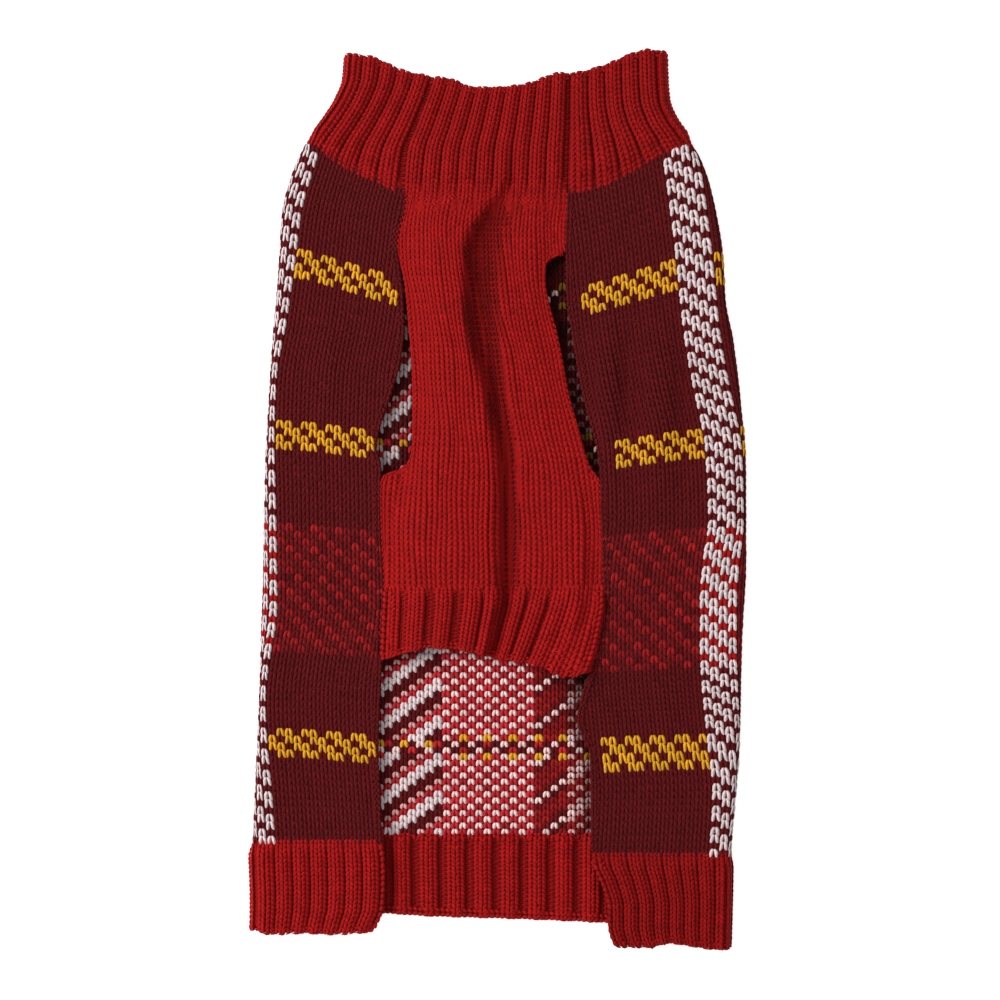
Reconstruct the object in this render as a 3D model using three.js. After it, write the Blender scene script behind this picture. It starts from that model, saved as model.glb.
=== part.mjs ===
// A knitted dog sweater of medium size, laid flat on its back with the belly side up.
// Millimetres: +Z is up, out of the belly side, and +Y points towards the neck.
//
// Two panels make the garment. The body panel is the back and both flanks in one piece of plaid
// jacquard. Its middle lies flat at z = 0, and its sides turn round the side folds and come up onto
// the front. The belly panel is red stockinette, sewn to the flanks' edges above and below the two
// leg openings. Each panel has its own neck rib and hem rib. The body panel is parted into three
// walls beside the folds, so that each solid is a simple sheet.

import * as THREE from 'three';

// Driving dimensions
const WALL = 2.4; // thickness of the knitted cloth
const SEAM = 0.3; // gap between two pieces at a seam
const LAYER_GAP = 0.6; // between the back and what lies on it
const FOLD_RADIUS = 2.6; // of the middle of the cloth round a side fold
const TURN_UNDER = 6; // how far a flank reaches in under itself
const SETTLE = 26; // distance over which the front sinks from the fold onto the back
const RIB_RISE = 1.4; // of a rib above the furrows beside it
const BACK_NECK_DROP = 1; // how far the neck's edge is lower on the back than on the front
const HEM_LIFT = { start: 14, length: 12 }; // where the front begins to rise over the back's hem rib
const HEM_LINE = { back: -141.5, left: -144, right: -149.5, belly: -37.6 };
const MIDDLE = { x: -0.26, y: 0.39 }; // of the footprint, in the measures of the tables

// Heights on the sheet, in y, at which a line across the sweater reads a column's x
const READ_AT = { neckLine: 145, neckEdge: 182, bellyNeckLine: 131, bellyNeckEdge: 178, hemEdge: -170 };

const REST = WALL + LAYER_GAP + WALL / 2; // middle of the front where it lies on the back
const FOLD_TOP = WALL / 2 + 2 * FOLD_RADIUS; // middle of the front at the side folds
const QUARTER = FOLD_RADIUS * Math.PI / 2; // length of a quarter turn round a fold

// Outlines: the outer faces of both side folds
const FOLDS = table(['y', 'left', 'right'], [
  [190, -64.3, 69.6],
  [177, -65.4, 70.0],
  [168, -68.9, 70.8],
  [160, -74.0, 74.0],
  [151, -80.6, 80.6],
  [143, -85.0, 85.6],
  [132, -89.0, 89.5],
  [122, -91.4, 91.8],
  [105, -92.6, 94.7],
  [84, -93.9, 96.0],
  [67, -95.6, 99.3],
  [42, -97.2, 102.3],
  [11, -98.7, 104.6],
  [-25, -99.3, 104.6],
  [-59, -100.4, 102.9],
  [-101, -101.9, 101.9],
  [-126, -103.1, 100.0],
  [-147, -103.8, 98.4],
  [-168, -103.2, 98.0],
  [-188, -103.6, 97.4],
]);

// Inner edges of the flanks and the edges of the belly panel. They are one line where a seam joins
// them, and two where a leg opening parts them. Below y = -74 there are only the flanks' free edges.
const EDGES = table(['y', 'flankLeft', 'bellyLeft', 'bellyRight', 'flankRight'], [
  [190, -23.5, -23.5, 30.6, 30.6],
  [177, -26.3, -26.3, 30.3, 30.3],
  [158, -33.0, -33.0, 30.0, 30.0],
  [147, -37.0, -37.0, 29.6, 29.6],
  [131, -38.6, -38.6, 29.2, 29.2],
  [122, -39.5, -39.5, 28.8, 28.8],
  [113, -42.0, -42.0, 28.4, 28.4],
  [106, -42.8, -42.8, 28.3, 28.3],
  [104.2, -42.7, -42.2, 27.0, 28.4],
  [102.4, -42.4, -41.7, 22.0, 28.5],
  [99, -41.8, -40.9, 19.6, 28.6],
  [93, -41.1, -39.5, 19.4, 28.6],
  [83, -40.1, -38.4, 21.0, 29.0],
  [73, -39.8, -37.5, 23.8, 30.6],
  [60, -41.2, -36.4, 26.6, 32.8],
  [43, -46.0, -36.0, 29.8, 36.0],
  [32, -49.8, -36.0, 33.0, 39.0],
  [22, -51.6, -36.2, 35.6, 41.6],
  [16, -49.9, -37.6, 37.6, 42.6],
  [12.6, -49.4, -41.6, 39.0, 42.8],
  [10.6, -49.6, -46.6, 40.6, 42.9],
  [8.6, -49.8, -49.8, 43.0, 43.0],
  [-8, -49.8, -49.8, 43.2, 43.2],
  [-25, -49.0, -49.0, 44.0, 44.0],
  [-42, -48.2, -48.2, 44.4, 44.4],
  [-55, -48.8, -48.8, 42.8, 42.8],
  [-65, -49.1, -49.1, 40.7, 40.7],
  [-74, -49.5, -49.5, 37.6, 37.6],
  [-84, -50.0, null, null, 34.6],
  [-93, -50.4, null, null, 33.4],
  [-99, -50.6, null, null, 35.6],
  [-105, -50.8, null, null, 38.4],
  [-120, -50.0, null, null, 39.1],
  [-142, -49.2, null, null, 39.1],
  [-153, -48.3, null, null, 40.4],
  [-160, -48.2, null, null, 43.6],
  [-171, -48.8, null, null, 46.6],
  [-178, -51.6, null, null, 46.6],
  [-183, -53.4, null, null, 47.6],
  [-188, -54.0, null, null, 50.6],
]);

// Lines across the sweater: where the body panel's neck rib begins, and the ribs' cast-off edges
const NECK_LINE = table(['x', 'y'], [
  [-86, 152.5], [-79, 150.4], [-71, 145.5], [-60, 139.7], [-50, 135.5], [-38, 131],
  [29, 131], [38, 132.1], [46, 135], [55, 139.7], [63, 144], [70, 147.2], [81, 149.5], [86, 150],
]);
const NECK_EDGE = table(['x', 'y'], [
  [-65, 186.7], [-54, 185.4], [-45, 181.7], [-37, 179.1], [-27, 177.5], [-19, 176.2],
  [-10, 172.9], [0, 172.8], [12, 174.3], [18, 176.4], [25, 179], [33, 179.1], [40, 180.8],
  [47, 182.9], [55, 186.3], [63, 188.3], [71, 187.2],
]);
const HEM_EDGE_LEFT = table(['x', 'y'], [
  [-103, -178], [-95, -181.2], [-81, -180.6], [-67, -181.2], [-53, -180.4],
]);
const HEM_EDGE_RIGHT = table(['x', 'y'], [
  [50, -186.6], [61, -186.7], [71, -184.9], [82, -186.3], [92, -187.5], [98, -186.3],
]);
const HEM_EDGE_BACK = table(['x', 'y'], [
  [-99, -176.5], [-80, -174.5], [-50, -173.3], [-30, -174.5], [4, -175.6], [46, -177.5],
  [75, -181], [94, -184.5],
]);
const HEM_EDGE_BELLY = table(['share', 'y'], [
  [0, -66.8], [0.1, -64], [0.21, -61.2], [0.37, -62], [0.49, -64], [0.6, -66.2],
  [0.72, -67.4], [0.84, -69.6], [0.94, -73.6], [1, -71.6],
]);

// The long furrow down the belly: its middle, half its width, how high the cloth swells beside it,
// how far the crest along its right side stands above that, and where the swell begins and ends
const FURROW = table(['y', 'x', 'half', 'swell', 'crest', 'from', 'to'], [
  [190, 17.0, 3.0, 0.0, 0.0, -24, 31],
  [160, 14.0, 4.2, 0.3, 0.0, -32, 30],
  [143, 10.5, 5.0, 0.6, 0.1, -38, 30],
  [131, 7.2, 5.6, 1.2, 0.3, -39, 29],
  [122, 1.5, 6.4, 2.6, 0.8, -40, 28],
  [112, -4.2, 7.1, 3.5, 1.2, -40, 26],
  [102, -6.3, 6.9, 3.8, 1.6, -41, 23],
  [83, -6.7, 6.5, 4.0, 1.8, -39, 21],
  [67, -5.3, 5.9, 4.0, 1.8, -37, 25],
  [54, -2.7, 4.8, 3.8, 1.6, -36, 28],
  [41, -0.4, 4.0, 3.6, 1.4, -36, 31],
  [27, 2.0, 3.7, 3.4, 1.4, -37, 34],
  [12, 3.9, 3.7, 3.4, 1.4, -41, 38],
  [-17, 4.0, 3.6, 3.2, 1.4, -49, 42],
  [-38, 3.8, 3.6, 3.0, 1.4, -49, 44],
  [-50, 0.8, 3.6, 2.8, 1.4, -49, 43],
  [-75, -5.0, 3.6, 2.2, 1.0, -49, 38],
]);
const FURROW_STEPS = [-1.7, -1.25, -0.95, -0.6, 0, 0.6, 0.95, 1.25, 1.7]; // across it, in halves
const SWELL_EDGE = 17; // distance over which the swell rises at either side
const CREST_OUT = 2.6; // of the crest's middle from the furrow's side
const CREST_WIDTH = 2.6;

// Soft swells of the cloth: the middle of each, its reach across and along, and its height
const SWELLS = table(['x', 'y', 'across', 'along', 'height'], [
  [-72, 62, 9, 34, 1.0],
  [-74, -62, 10, 38, 0.8],
  [69, 42, 7, 34, 1.5],
  [47, 48, 5, 30, 1.1],
  [72, -82, 9, 34, 1.0],
  [-22, -20, 12, 26, 0.6],
  [14, 96, 6, 14, 0.8],
  [33, -30, 5, 30, 0.9],
  [36, -74, 8, 9, 1.3],
  [-46, -68, 8, 8, 0.8],
]);

// Ribs: the middle of the first and the distance to the next, as shares of the way from the end of
// the fold's quarter turn to the inner edge, or of a piece's whole width
const RIBS = {
  neckLeft: { first: 0, pitch: 0.205 },
  neckRight: { first: 0.1, pitch: 0.2 },
  neckBelly: { first: 0.035, pitch: 0.11 },
  hemLeft: { first: 0.045, pitch: 0.143 },
  hemRight: { first: 0, pitch: 0.135 },
  hemBack: { first: 0.035, pitch: 0.0585 },
};
const BELLY_HEM_RIBS = [0.04, 0.15, 0.275, 0.405, 0.5, 0.61, 0.71, 0.81, 0.89, 0.965];
const BELLY_HEM_SLANT = 6; // how far the ribs' lower ends lean to the left in the middle
const RIB_TOP = 0.2; // half width of a rib's top, as a share of the pitch
const RIB_FOOT = 0.38; // half width of its foot

// Finishes
const plaid = { color: 0x561018, roughness: 0.9, metalness: 0 };
const red = { color: 0xb01a18, roughness: 0.88, metalness: 0 };

// Rows of a table as objects with named columns.
function table(columns, rows) {
  return rows.map(row => Object.fromEntries(columns.map((column, index) => [column, row[index]])));
}

function clamp01(value) {
  return Math.min(1, Math.max(0, value));
}

function mix(from, to, share) {
  return from + (to - from) * share;
}

// A step from 0 to 1 with soft ends.
function smooth(value) {
  const share = clamp01(value);
  return share * share * (3 - 2 * share);
}

// A smooth curve through two columns of a table, which never swings past its rows.
function curve(rows, from, to) {
  const known = rows.filter(row => row[to] !== null).sort((a, b) => a[from] - b[from]);
  const at = known.map(row => row[from]);
  const value = known.map(row => row[to]);
  const last = at.length - 1;
  const grade = at.slice(1).map((end, i) => (value[i + 1] - value[i]) / (end - at[i]));
  const slope = at.map((_, i) => {
    const before = grade[Math.max(0, i - 1)];
    const after = grade[Math.min(last - 1, i)];
    return before * after <= 0 ? 0 : 2 * before * after / (before + after);
  });
  return position => {
    const x = Math.min(at[last], Math.max(at[0], position));
    const i = Math.max(0, at.findIndex(end => end >= x) - 1);
    const length = at[i + 1] - at[i];
    const t = (x - at[i]) / length;
    const bend = length * t * (1 - t);
    return mix(value[i], value[i + 1], t * t * (3 - 2 * t))
      + bend * (slope[i] * (1 - t) - slope[i + 1] * t);
  };
}

const fold = { left: curve(FOLDS, 'y', 'left'), right: curve(FOLDS, 'y', 'right') };
const flankEdge = { left: curve(EDGES, 'y', 'flankLeft'), right: curve(EDGES, 'y', 'flankRight') };
const bellyEdge = { left: curve(EDGES, 'y', 'bellyLeft'), right: curve(EDGES, 'y', 'bellyRight') };
const furrow = {
  x: curve(FURROW, 'y', 'x'),
  half: curve(FURROW, 'y', 'half'),
  swell: curve(FURROW, 'y', 'swell'),
  crest: curve(FURROW, 'y', 'crest'),
  from: curve(FURROW, 'y', 'from'),
  to: curve(FURROW, 'y', 'to'),
};
const neckLine = curve(NECK_LINE, 'x', 'y');
const neckEdge = curve(NECK_EDGE, 'x', 'y');
const hemEdge = {
  left: curve(HEM_EDGE_LEFT, 'x', 'y'),
  right: curve(HEM_EDGE_RIGHT, 'x', 'y'),
  back: curve(HEM_EDGE_BACK, 'x', 'y'),
  belly: curve(HEM_EDGE_BELLY, 'share', 'y'),
};
const inward = { left: 1, right: -1 };

// How far the belly stands above the front's resting level, with its furrow and crest.
function bellyRelief(x, y) {
  const inside = Math.min(x - furrow.from(y), furrow.to(y) - x);
  const half = furrow.half(y);
  const offset = x - furrow.x(y);
  const groove = Math.exp(-((offset / (0.95 * half)) ** 4));
  const crest = furrow.crest(y) * Math.exp(-(((offset - half - CREST_OUT) / CREST_WIDTH) ** 2));
  return smooth(inside / SWELL_EDGE) * (furrow.swell(y) * (1 - groove) + crest);
}

// Height of the middle of the front's cloth.
function frontHeight(x, y) {
  const fromFold = Math.min(x - fold.left(y), fold.right(y) - x) - FOLD_RADIUS - WALL / 2;
  const settled = smooth(fromFold / SETTLE);
  const overHem = RIB_RISE * smooth((HEM_LINE.back + HEM_LIFT.start - y) / HEM_LIFT.length);
  const swell = SWELLS.reduce((sum, s) => sum
    + s.height * Math.exp(-(((x - s.x) / s.across) ** 2) - (((y - s.y) / s.along) ** 2)), 0);
  return mix(FOLD_TOP, REST + overHem, settled) + settled * swell + bellyRelief(x, y);
}

// A point in the middle of a flank's cloth. `turn` runs from -2, under the garment, through 0 at
// the side fold, to 1 where the fold's upper quarter ends and 2 at the flank's inner edge.
function flankPoint(side, turn, y) {
  const centre = fold[side](y) + inward[side] * (FOLD_RADIUS + WALL / 2);
  if (Math.abs(turn) <= 1) {
    const angle = turn * Math.PI / 2;
    const x = centre - inward[side] * FOLD_RADIUS * Math.cos(angle);
    return new THREE.Vector3(x, y, WALL / 2 + FOLD_RADIUS * (1 + Math.sin(angle)));
  }
  if (turn < -1) {
    return new THREE.Vector3(centre + inward[side] * TURN_UNDER * (-turn - 1), y, WALL / 2);
  }
  const edge = flankEdge[side](y) - inward[side] * SEAM / 2;
  const x = mix(centre, edge, turn - 1);
  return new THREE.Vector3(x, y, frontHeight(x, y));
}

// Where the back meets a flank's turned-under part.
function backEdge(side, y) {
  return fold[side](y) + inward[side] * (FOLD_RADIUS + WALL / 2 + TURN_UNDER + SEAM);
}

function backPoint(share, y) {
  return new THREE.Vector3(mix(backEdge('left', y), backEdge('right', y), share), y, WALL / 2);
}

function bellyPoint(share, y) {
  const x = mix(bellyEdge.left(y) + SEAM / 2, bellyEdge.right(y) - SEAM / 2, share);
  return new THREE.Vector3(x, y, frontHeight(x, y));
}

// A point of the belly panel's columns, which crowd together over the furrow: `column` runs from 0
// at the left edge, through 1 and 2 at the furrow's sides, to 3 at the right edge.
function furrowedPoint(column, y) {
  const reach = FURROW_STEPS.at(-1) * furrow.half(y);
  const left = furrow.x(y) - reach;
  const right = furrow.x(y) + reach;
  let x = mix(left, right, column - 1);
  if (column < 1) x = mix(bellyEdge.left(y) + SEAM / 2, left, column);
  if (column > 2) x = mix(right, bellyEdge.right(y) - SEAM / 2, column - 2);
  return new THREE.Vector3(x, y, frontHeight(x, y));
}

// Height of a rib, from 0 in the furrow to 1 on the rib's top.
function ribShape(distance) {
  return clamp01((RIB_FOOT - distance) / (RIB_FOOT - RIB_TOP));
}

// Even ribs: the height at a share of the way across.
function evenRibs({ first, pitch }) {
  return share => {
    const phase = (share - first) / pitch;
    return ribShape(Math.abs(phase - Math.round(phase)));
  };
}

// Ribs at given places, each as wide as the mean pitch.
function placedRibs(places) {
  const pitch = 1 / places.length;
  return share => Math.max(...places.map(place => ribShape(Math.abs(share - place) / pitch)));
}

// Columns that follow each rib's top and foot, between 0 and 1.
function ribColumns(places, pitch) {
  const sides = [-RIB_FOOT, -RIB_TOP, RIB_TOP, RIB_FOOT];
  const marks = places.flatMap(place => sides.map(side => place + side * pitch));
  const inside = marks.filter(mark => mark > 0.008 && mark < 0.992);
  const sorted = inside.sort((a, b) => a - b);
  return [0, ...sorted.filter((mark, i) => i === 0 || mark - sorted[i - 1] > 0.002), 1];
}

function evenPlaces({ first, pitch }) {
  const count = Math.ceil((1 - first) / pitch) + 1;
  return Array.from({ length: count }, (_, index) => first + index * pitch);
}

function steps(from, to, count) {
  return Array.from({ length: count + 1 }, (_, index) => mix(from, to, index / count));
}

// A closed wall over a grid of columns and rows. `place` gives a point in the middle of the cloth,
// `rowAt` the y of a column at a row's share of its height, and `rise` how far the outer face stands
// out. `facing` is 1 or -1, to point the outer face away from the garment's inside.
function wall(name, finish, { place, columns, rows, rowAt, rise = () => 0, riseInside, facing = 1 }) {
  const step = 1e-3;
  const outer = [];
  const inner = [];
  for (const row of rows) {
    for (const column of columns) {
      const y = rowAt(column, row);
      const middle = place(column, y);
      const across = place(column + step, y).sub(place(column - step, y));
      const along = place(column, y + step).sub(place(column, y - step));
      const normal = across.cross(along).normalize().multiplyScalar(facing);
      const out = WALL / 2 + rise(column, y, normal);
      const inTo = WALL / 2 + (riseInside ? riseInside(column) : 0);
      outer.push(middle.clone().addScaledVector(normal, out));
      inner.push(middle.clone().addScaledVector(normal, -inTo));
    }
  }
  const mesh = new THREE.Mesh(
    sheet(outer, inner, columns.length, rows.length),
    new THREE.MeshStandardMaterial(finish),
  );
  mesh.name = name;
  return mesh;
}

// The closed surface of two facing grids of points, joined along their borders.
function sheet(outer, inner, across, along) {
  const points = [...outer, ...inner];
  const index = [];
  const at = (column, row, face) => face * outer.length + row * across + column;
  const quad = (a, b, c, d) => index.push(a, b, c, a, c, d);
  for (let row = 0; row + 1 < along; row += 1) {
    for (let column = 0; column + 1 < across; column += 1) {
      quad(at(column, row, 0), at(column + 1, row, 0), at(column + 1, row + 1, 0), at(column, row + 1, 0));
      quad(at(column, row, 1), at(column, row + 1, 1), at(column + 1, row + 1, 1), at(column + 1, row, 1));
    }
  }
  for (let column = 0; column + 1 < across; column += 1) {
    quad(at(column + 1, 0, 0), at(column, 0, 0), at(column, 0, 1), at(column + 1, 0, 1));
    quad(at(column, along - 1, 0), at(column + 1, along - 1, 0), at(column + 1, along - 1, 1),
      at(column, along - 1, 1));
  }
  for (let row = 0; row + 1 < along; row += 1) {
    quad(at(0, row, 0), at(0, row + 1, 0), at(0, row + 1, 1), at(0, row, 1));
    quad(at(across - 1, row + 1, 0), at(across - 1, row, 0), at(across - 1, row, 1),
      at(across - 1, row + 1, 1));
  }
  if (signedVolume(points, index) < 0) index.reverse();
  const geometry = new THREE.BufferGeometry().setFromPoints(points);
  geometry.setIndex(index);
  geometry.computeVertexNormals();
  return geometry;
}

function signedVolume(points, index) {
  let sum = 0;
  for (let i = 0; i < index.length; i += 3) {
    const [a, b, c] = [points[index[i]], points[index[i + 1]], points[index[i + 2]]];
    sum += a.dot(b.clone().cross(c));
  }
  return sum / 6;
}

// Ribs fade out where the cloth faces down and rests.
function ribFade(normal) {
  return smooth((normal.z + 0.9) / 0.7);
}

const TURN_COLUMNS = [-2, -1, -0.7, -0.4, -0.15, 0.15, 0.4, 0.7, 1];
const FLANK_COLUMNS = [...TURN_COLUMNS, ...steps(1, 2, 7).slice(1)];
const BACK_COLUMNS = steps(0, 1, 10);

function flankRibColumns(ribs) {
  const top = ribColumns(evenPlaces(ribs), ribs.pitch).slice(1);
  return [...TURN_COLUMNS, ...top.map(share => 1 + share)];
}

function flankRibs(side, ribs) {
  const shape = evenRibs(ribs);
  return (turn, y, normal) => {
    const run = Math.abs(flankPoint(side, 2, y).x - flankPoint(side, 1, y).x);
    const share = turn > 1 ? turn - 1 : (turn - 1) * QUARTER / run;
    return RIB_RISE * shape(share) * ribFade(normal);
  };
}

// Shares of a panel's rows, so that they pass near the table's stations on its edges.
function stationRows(top, bottom) {
  const inside = EDGES.map(row => row.y).filter(y => y < top - 3 && y > bottom + 3);
  return [bottom, ...inside.reverse(), top].map(y => (y - bottom) / (top - bottom));
}

// A line that runs straight between its values at the given columns, so that two pieces with
// different columns can meet along it.
function straightened(columns, line) {
  const values = columns.map(line);
  return column => {
    const i = Math.min(columns.length - 2, Math.max(0, columns.findIndex(end => end >= column) - 1));
    return mix(values[i], values[i + 1], (column - columns[i]) / (columns[i + 1] - columns[i]));
  };
}

const BODY_ROWS = stationRows(READ_AT.bellyNeckLine, HEM_LINE.left);
const NECK_ROWS = steps(0, 1, 5);
const HEM_ROWS = steps(0, 1, 4);

function flankNeckLine(side) {
  return straightened(FLANK_COLUMNS, turn => neckLine(flankPoint(side, turn, READ_AT.neckLine).x));
}

const backNeckLine = straightened(BACK_COLUMNS, share => neckLine(backPoint(share, READ_AT.neckLine).x));

function flank(side) {
  const hemLine = turn => mix(HEM_LINE[side], HEM_LINE.back, clamp01(-turn / 2)) + SEAM / 2;
  const topLine = flankNeckLine(side);
  return wall(`flank_${side}`, plaid, {
    place: (turn, y) => flankPoint(side, turn, y),
    columns: FLANK_COLUMNS,
    rows: BODY_ROWS,
    rowAt: (turn, share) => mix(hemLine(turn), topLine(turn) - SEAM / 2, share),
    facing: inward[side],
  });
}

function neckSide(side, ribs) {
  const lowLine = flankNeckLine(side);
  const topLine = turn => neckEdge(flankPoint(side, turn, READ_AT.neckEdge).x)
    - BACK_NECK_DROP * clamp01(-turn - 1);
  return wall(`neck_${side}`, red, {
    place: (turn, y) => flankPoint(side, turn, y),
    columns: flankRibColumns(ribs),
    rows: NECK_ROWS,
    rowAt: (turn, share) => mix(lowLine(turn) + SEAM / 2, topLine(turn), share),
    rise: flankRibs(side, ribs),
    facing: inward[side],
  });
}

function hemSide(side, ribs) {
  const topLine = turn => mix(HEM_LINE[side], HEM_LINE.back, clamp01(-turn / 2)) - SEAM / 2;
  const lowLine = turn => {
    const front = hemEdge[side](flankPoint(side, Math.max(turn, 0), READ_AT.hemEdge).x);
    const back = hemEdge.back(flankPoint(side, turn, READ_AT.hemEdge).x);
    return mix(front, back, clamp01(-turn / 2));
  };
  return wall(`hem_${side}`, red, {
    place: (turn, y) => flankPoint(side, turn, y),
    columns: flankRibColumns(ribs),
    rows: HEM_ROWS,
    rowAt: (turn, share) => mix(lowLine(turn), topLine(turn), share),
    rise: flankRibs(side, ribs),
    facing: inward[side],
  });
}

function backPanel() {
  return wall('back_panel', plaid, {
    place: backPoint,
    columns: BACK_COLUMNS,
    rows: BODY_ROWS,
    rowAt: (share, row) => mix(HEM_LINE.back + SEAM / 2, backNeckLine(share) - SEAM / 2, row),
    facing: -1,
  });
}

function neckBack() {
  return wall('neck_back', red, {
    place: backPoint,
    columns: steps(0, 1, 22),
    rows: NECK_ROWS,
    rowAt: (share, row) => {
      const edge = neckEdge(backPoint(share, READ_AT.neckEdge).x) - BACK_NECK_DROP;
      return mix(backNeckLine(share) + SEAM / 2, edge, row);
    },
    facing: -1,
  });
}

// The back's hem rib shows its inside, so its ribs stand up off the resting face.
function hemBack(ribs) {
  const shape = evenRibs(ribs);
  return wall('hem_back', red, {
    place: backPoint,
    columns: ribColumns(evenPlaces(ribs), ribs.pitch),
    rows: HEM_ROWS,
    rowAt: (share, row) => {
      const low = hemEdge.back(backPoint(share, READ_AT.hemEdge).x);
      return mix(low, HEM_LINE.back - SEAM / 2, row);
    },
    riseInside: share => RIB_RISE * shape(share),
    facing: -1,
  });
}

function bellyPanel() {
  const low = HEM_LINE.belly + SEAM / 2;
  const crowded = FURROW_STEPS.map(step => 1.5 + step / (2 * FURROW_STEPS.at(-1)));
  const top = share => neckLine(bellyPoint(share, READ_AT.bellyNeckLine).x) - SEAM / 2;
  return wall('belly_panel', red, {
    place: furrowedPoint,
    columns: [...steps(0, 1, 5).slice(0, -1), ...crowded, ...steps(2, 3, 5).slice(1)],
    rows: stationRows(top(0), low),
    rowAt: (column, row) => mix(low, top(column / 3), row),
  });
}

function neckBelly(ribs) {
  const shape = evenRibs(ribs);
  return wall('neck_belly', red, {
    place: bellyPoint,
    columns: ribColumns(evenPlaces(ribs), ribs.pitch),
    rows: NECK_ROWS,
    rowAt: (share, row) => {
      const low = neckLine(bellyPoint(share, READ_AT.bellyNeckLine).x) + SEAM / 2;
      return mix(low, neckEdge(bellyPoint(share, READ_AT.bellyNeckEdge).x), row);
    },
    rise: share => RIB_RISE * shape(share),
  });
}

function bellyHem(places) {
  const shape = placedRibs(places);
  const top = HEM_LINE.belly - SEAM / 2;
  const slanted = (share, y) => {
    const down = (top - y) / (top - hemEdge.belly(share));
    const point = bellyPoint(share, y);
    point.x -= BELLY_HEM_SLANT * Math.sin(Math.PI * clamp01(share)) * down;
    point.z = frontHeight(point.x, y);
    return point;
  };
  return wall('belly_hem', red, {
    place: slanted,
    columns: ribColumns(places, 1 / places.length),
    rows: steps(0, 1, 6),
    rowAt: (share, row) => mix(hemEdge.belly(share), top, row),
    rise: share => RIB_RISE * shape(share),
  });
}

const bodyCloth = new THREE.Group();
bodyCloth.add(backPanel(), flank('left'), flank('right'));
bodyCloth.add(neckBack(), neckSide('left', RIBS.neckLeft), neckSide('right', RIBS.neckRight));
bodyCloth.add(hemBack(RIBS.hemBack), hemSide('left', RIBS.hemLeft), hemSide('right', RIBS.hemRight));

const bellyCloth = new THREE.Group();
bellyCloth.add(bellyPanel(), neckBelly(RIBS.neckBelly), bellyHem(BELLY_HEM_RIBS));

const sweater = new THREE.Group();
sweater.add(bodyCloth, bellyCloth);
sweater.position.set(-MIDDLE.x, -MIDDLE.y, 0);

export default sweater;
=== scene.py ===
"""Dress the laid dog sweater: yarn stitches on thin knitted cloth, belly side up.

Lengths are in millimetres, as measured on the laid garment: +X is right, +Y points towards the
neck and +Z up. `to_frame` turns points into the frame's metres.
"""
from __future__ import annotations

import logging
import math
from dataclasses import dataclass
from enum import Enum
from typing import Any, Callable

import bpy
import numpy as np
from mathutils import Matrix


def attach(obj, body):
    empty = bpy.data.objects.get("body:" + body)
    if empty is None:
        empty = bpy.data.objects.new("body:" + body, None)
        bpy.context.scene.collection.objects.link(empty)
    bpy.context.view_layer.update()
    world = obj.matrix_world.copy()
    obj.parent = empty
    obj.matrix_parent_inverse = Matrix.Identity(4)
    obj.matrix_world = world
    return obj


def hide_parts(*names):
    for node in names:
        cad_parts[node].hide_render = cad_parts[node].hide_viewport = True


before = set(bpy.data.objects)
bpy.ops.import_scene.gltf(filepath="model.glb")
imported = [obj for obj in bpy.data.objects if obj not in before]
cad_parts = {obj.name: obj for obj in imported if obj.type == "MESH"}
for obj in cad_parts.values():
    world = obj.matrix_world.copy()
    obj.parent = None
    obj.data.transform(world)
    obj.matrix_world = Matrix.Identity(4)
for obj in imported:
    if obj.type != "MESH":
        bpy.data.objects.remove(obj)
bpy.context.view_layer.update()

log = logging.getLogger("sweater")
Array = np.ndarray
Line = Callable[[Array], Array]
Place = Callable[[Array, Array], Array]

MM = 0.001

# The form, as the solids have it
WALL = 2.4  # thickness of the knitted cloth
SEAM = 0.3  # gap between two pieces at a seam
PRESSED = 1.0  # height below which the yarn is squeezed between the garment and what it lies on
OVERLAP = 0.25  # of the cloth of two pieces at a seam, which hides the solids' gap
LAYER_GAP = 0.6  # between the back and what lies on it
FOLD_RADIUS = 2.6  # of the middle of the cloth round a side fold
TURN_UNDER = 6.0  # how far a flank reaches in under itself
SETTLE = 26.0  # distance over which the front sinks from the fold onto the back
RIB_RISE = 1.4  # of a rib above the furrows beside it
BACK_NECK_DROP = 1.0
HEM_LIFT = (14.0, 12.0)  # where the front begins to rise over the back's hem rib, and how long
HEM_LINE_BACK = -141.5
HEM_LINE_BELLY = -37.6
HEM_LINES = {"left": -144.0, "right": -149.5}
MIDDLE = (-0.26, 0.39, 0.0)  # of the footprint, in the measures of the tables
READ_NECK_LINE = 145.0  # heights at which a line across reads a column's x
READ_NECK_EDGE = 182.0
READ_BELLY_NECK_LINE = 131.0
READ_BELLY_NECK_EDGE = 178.0
READ_HEM_EDGE = -170.0

REST = WALL + LAYER_GAP + WALL / 2
FOLD_TOP = WALL / 2 + 2 * FOLD_RADIUS
ROUND = FOLD_RADIUS + WALL / 2  # outer radius of a side fold
QUARTER = FOLD_RADIUS * math.pi / 2  # a quarter turn along the middle of the cloth
OUTER_QUARTER = ROUND * math.pi / 2  # and along its outer face

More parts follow.
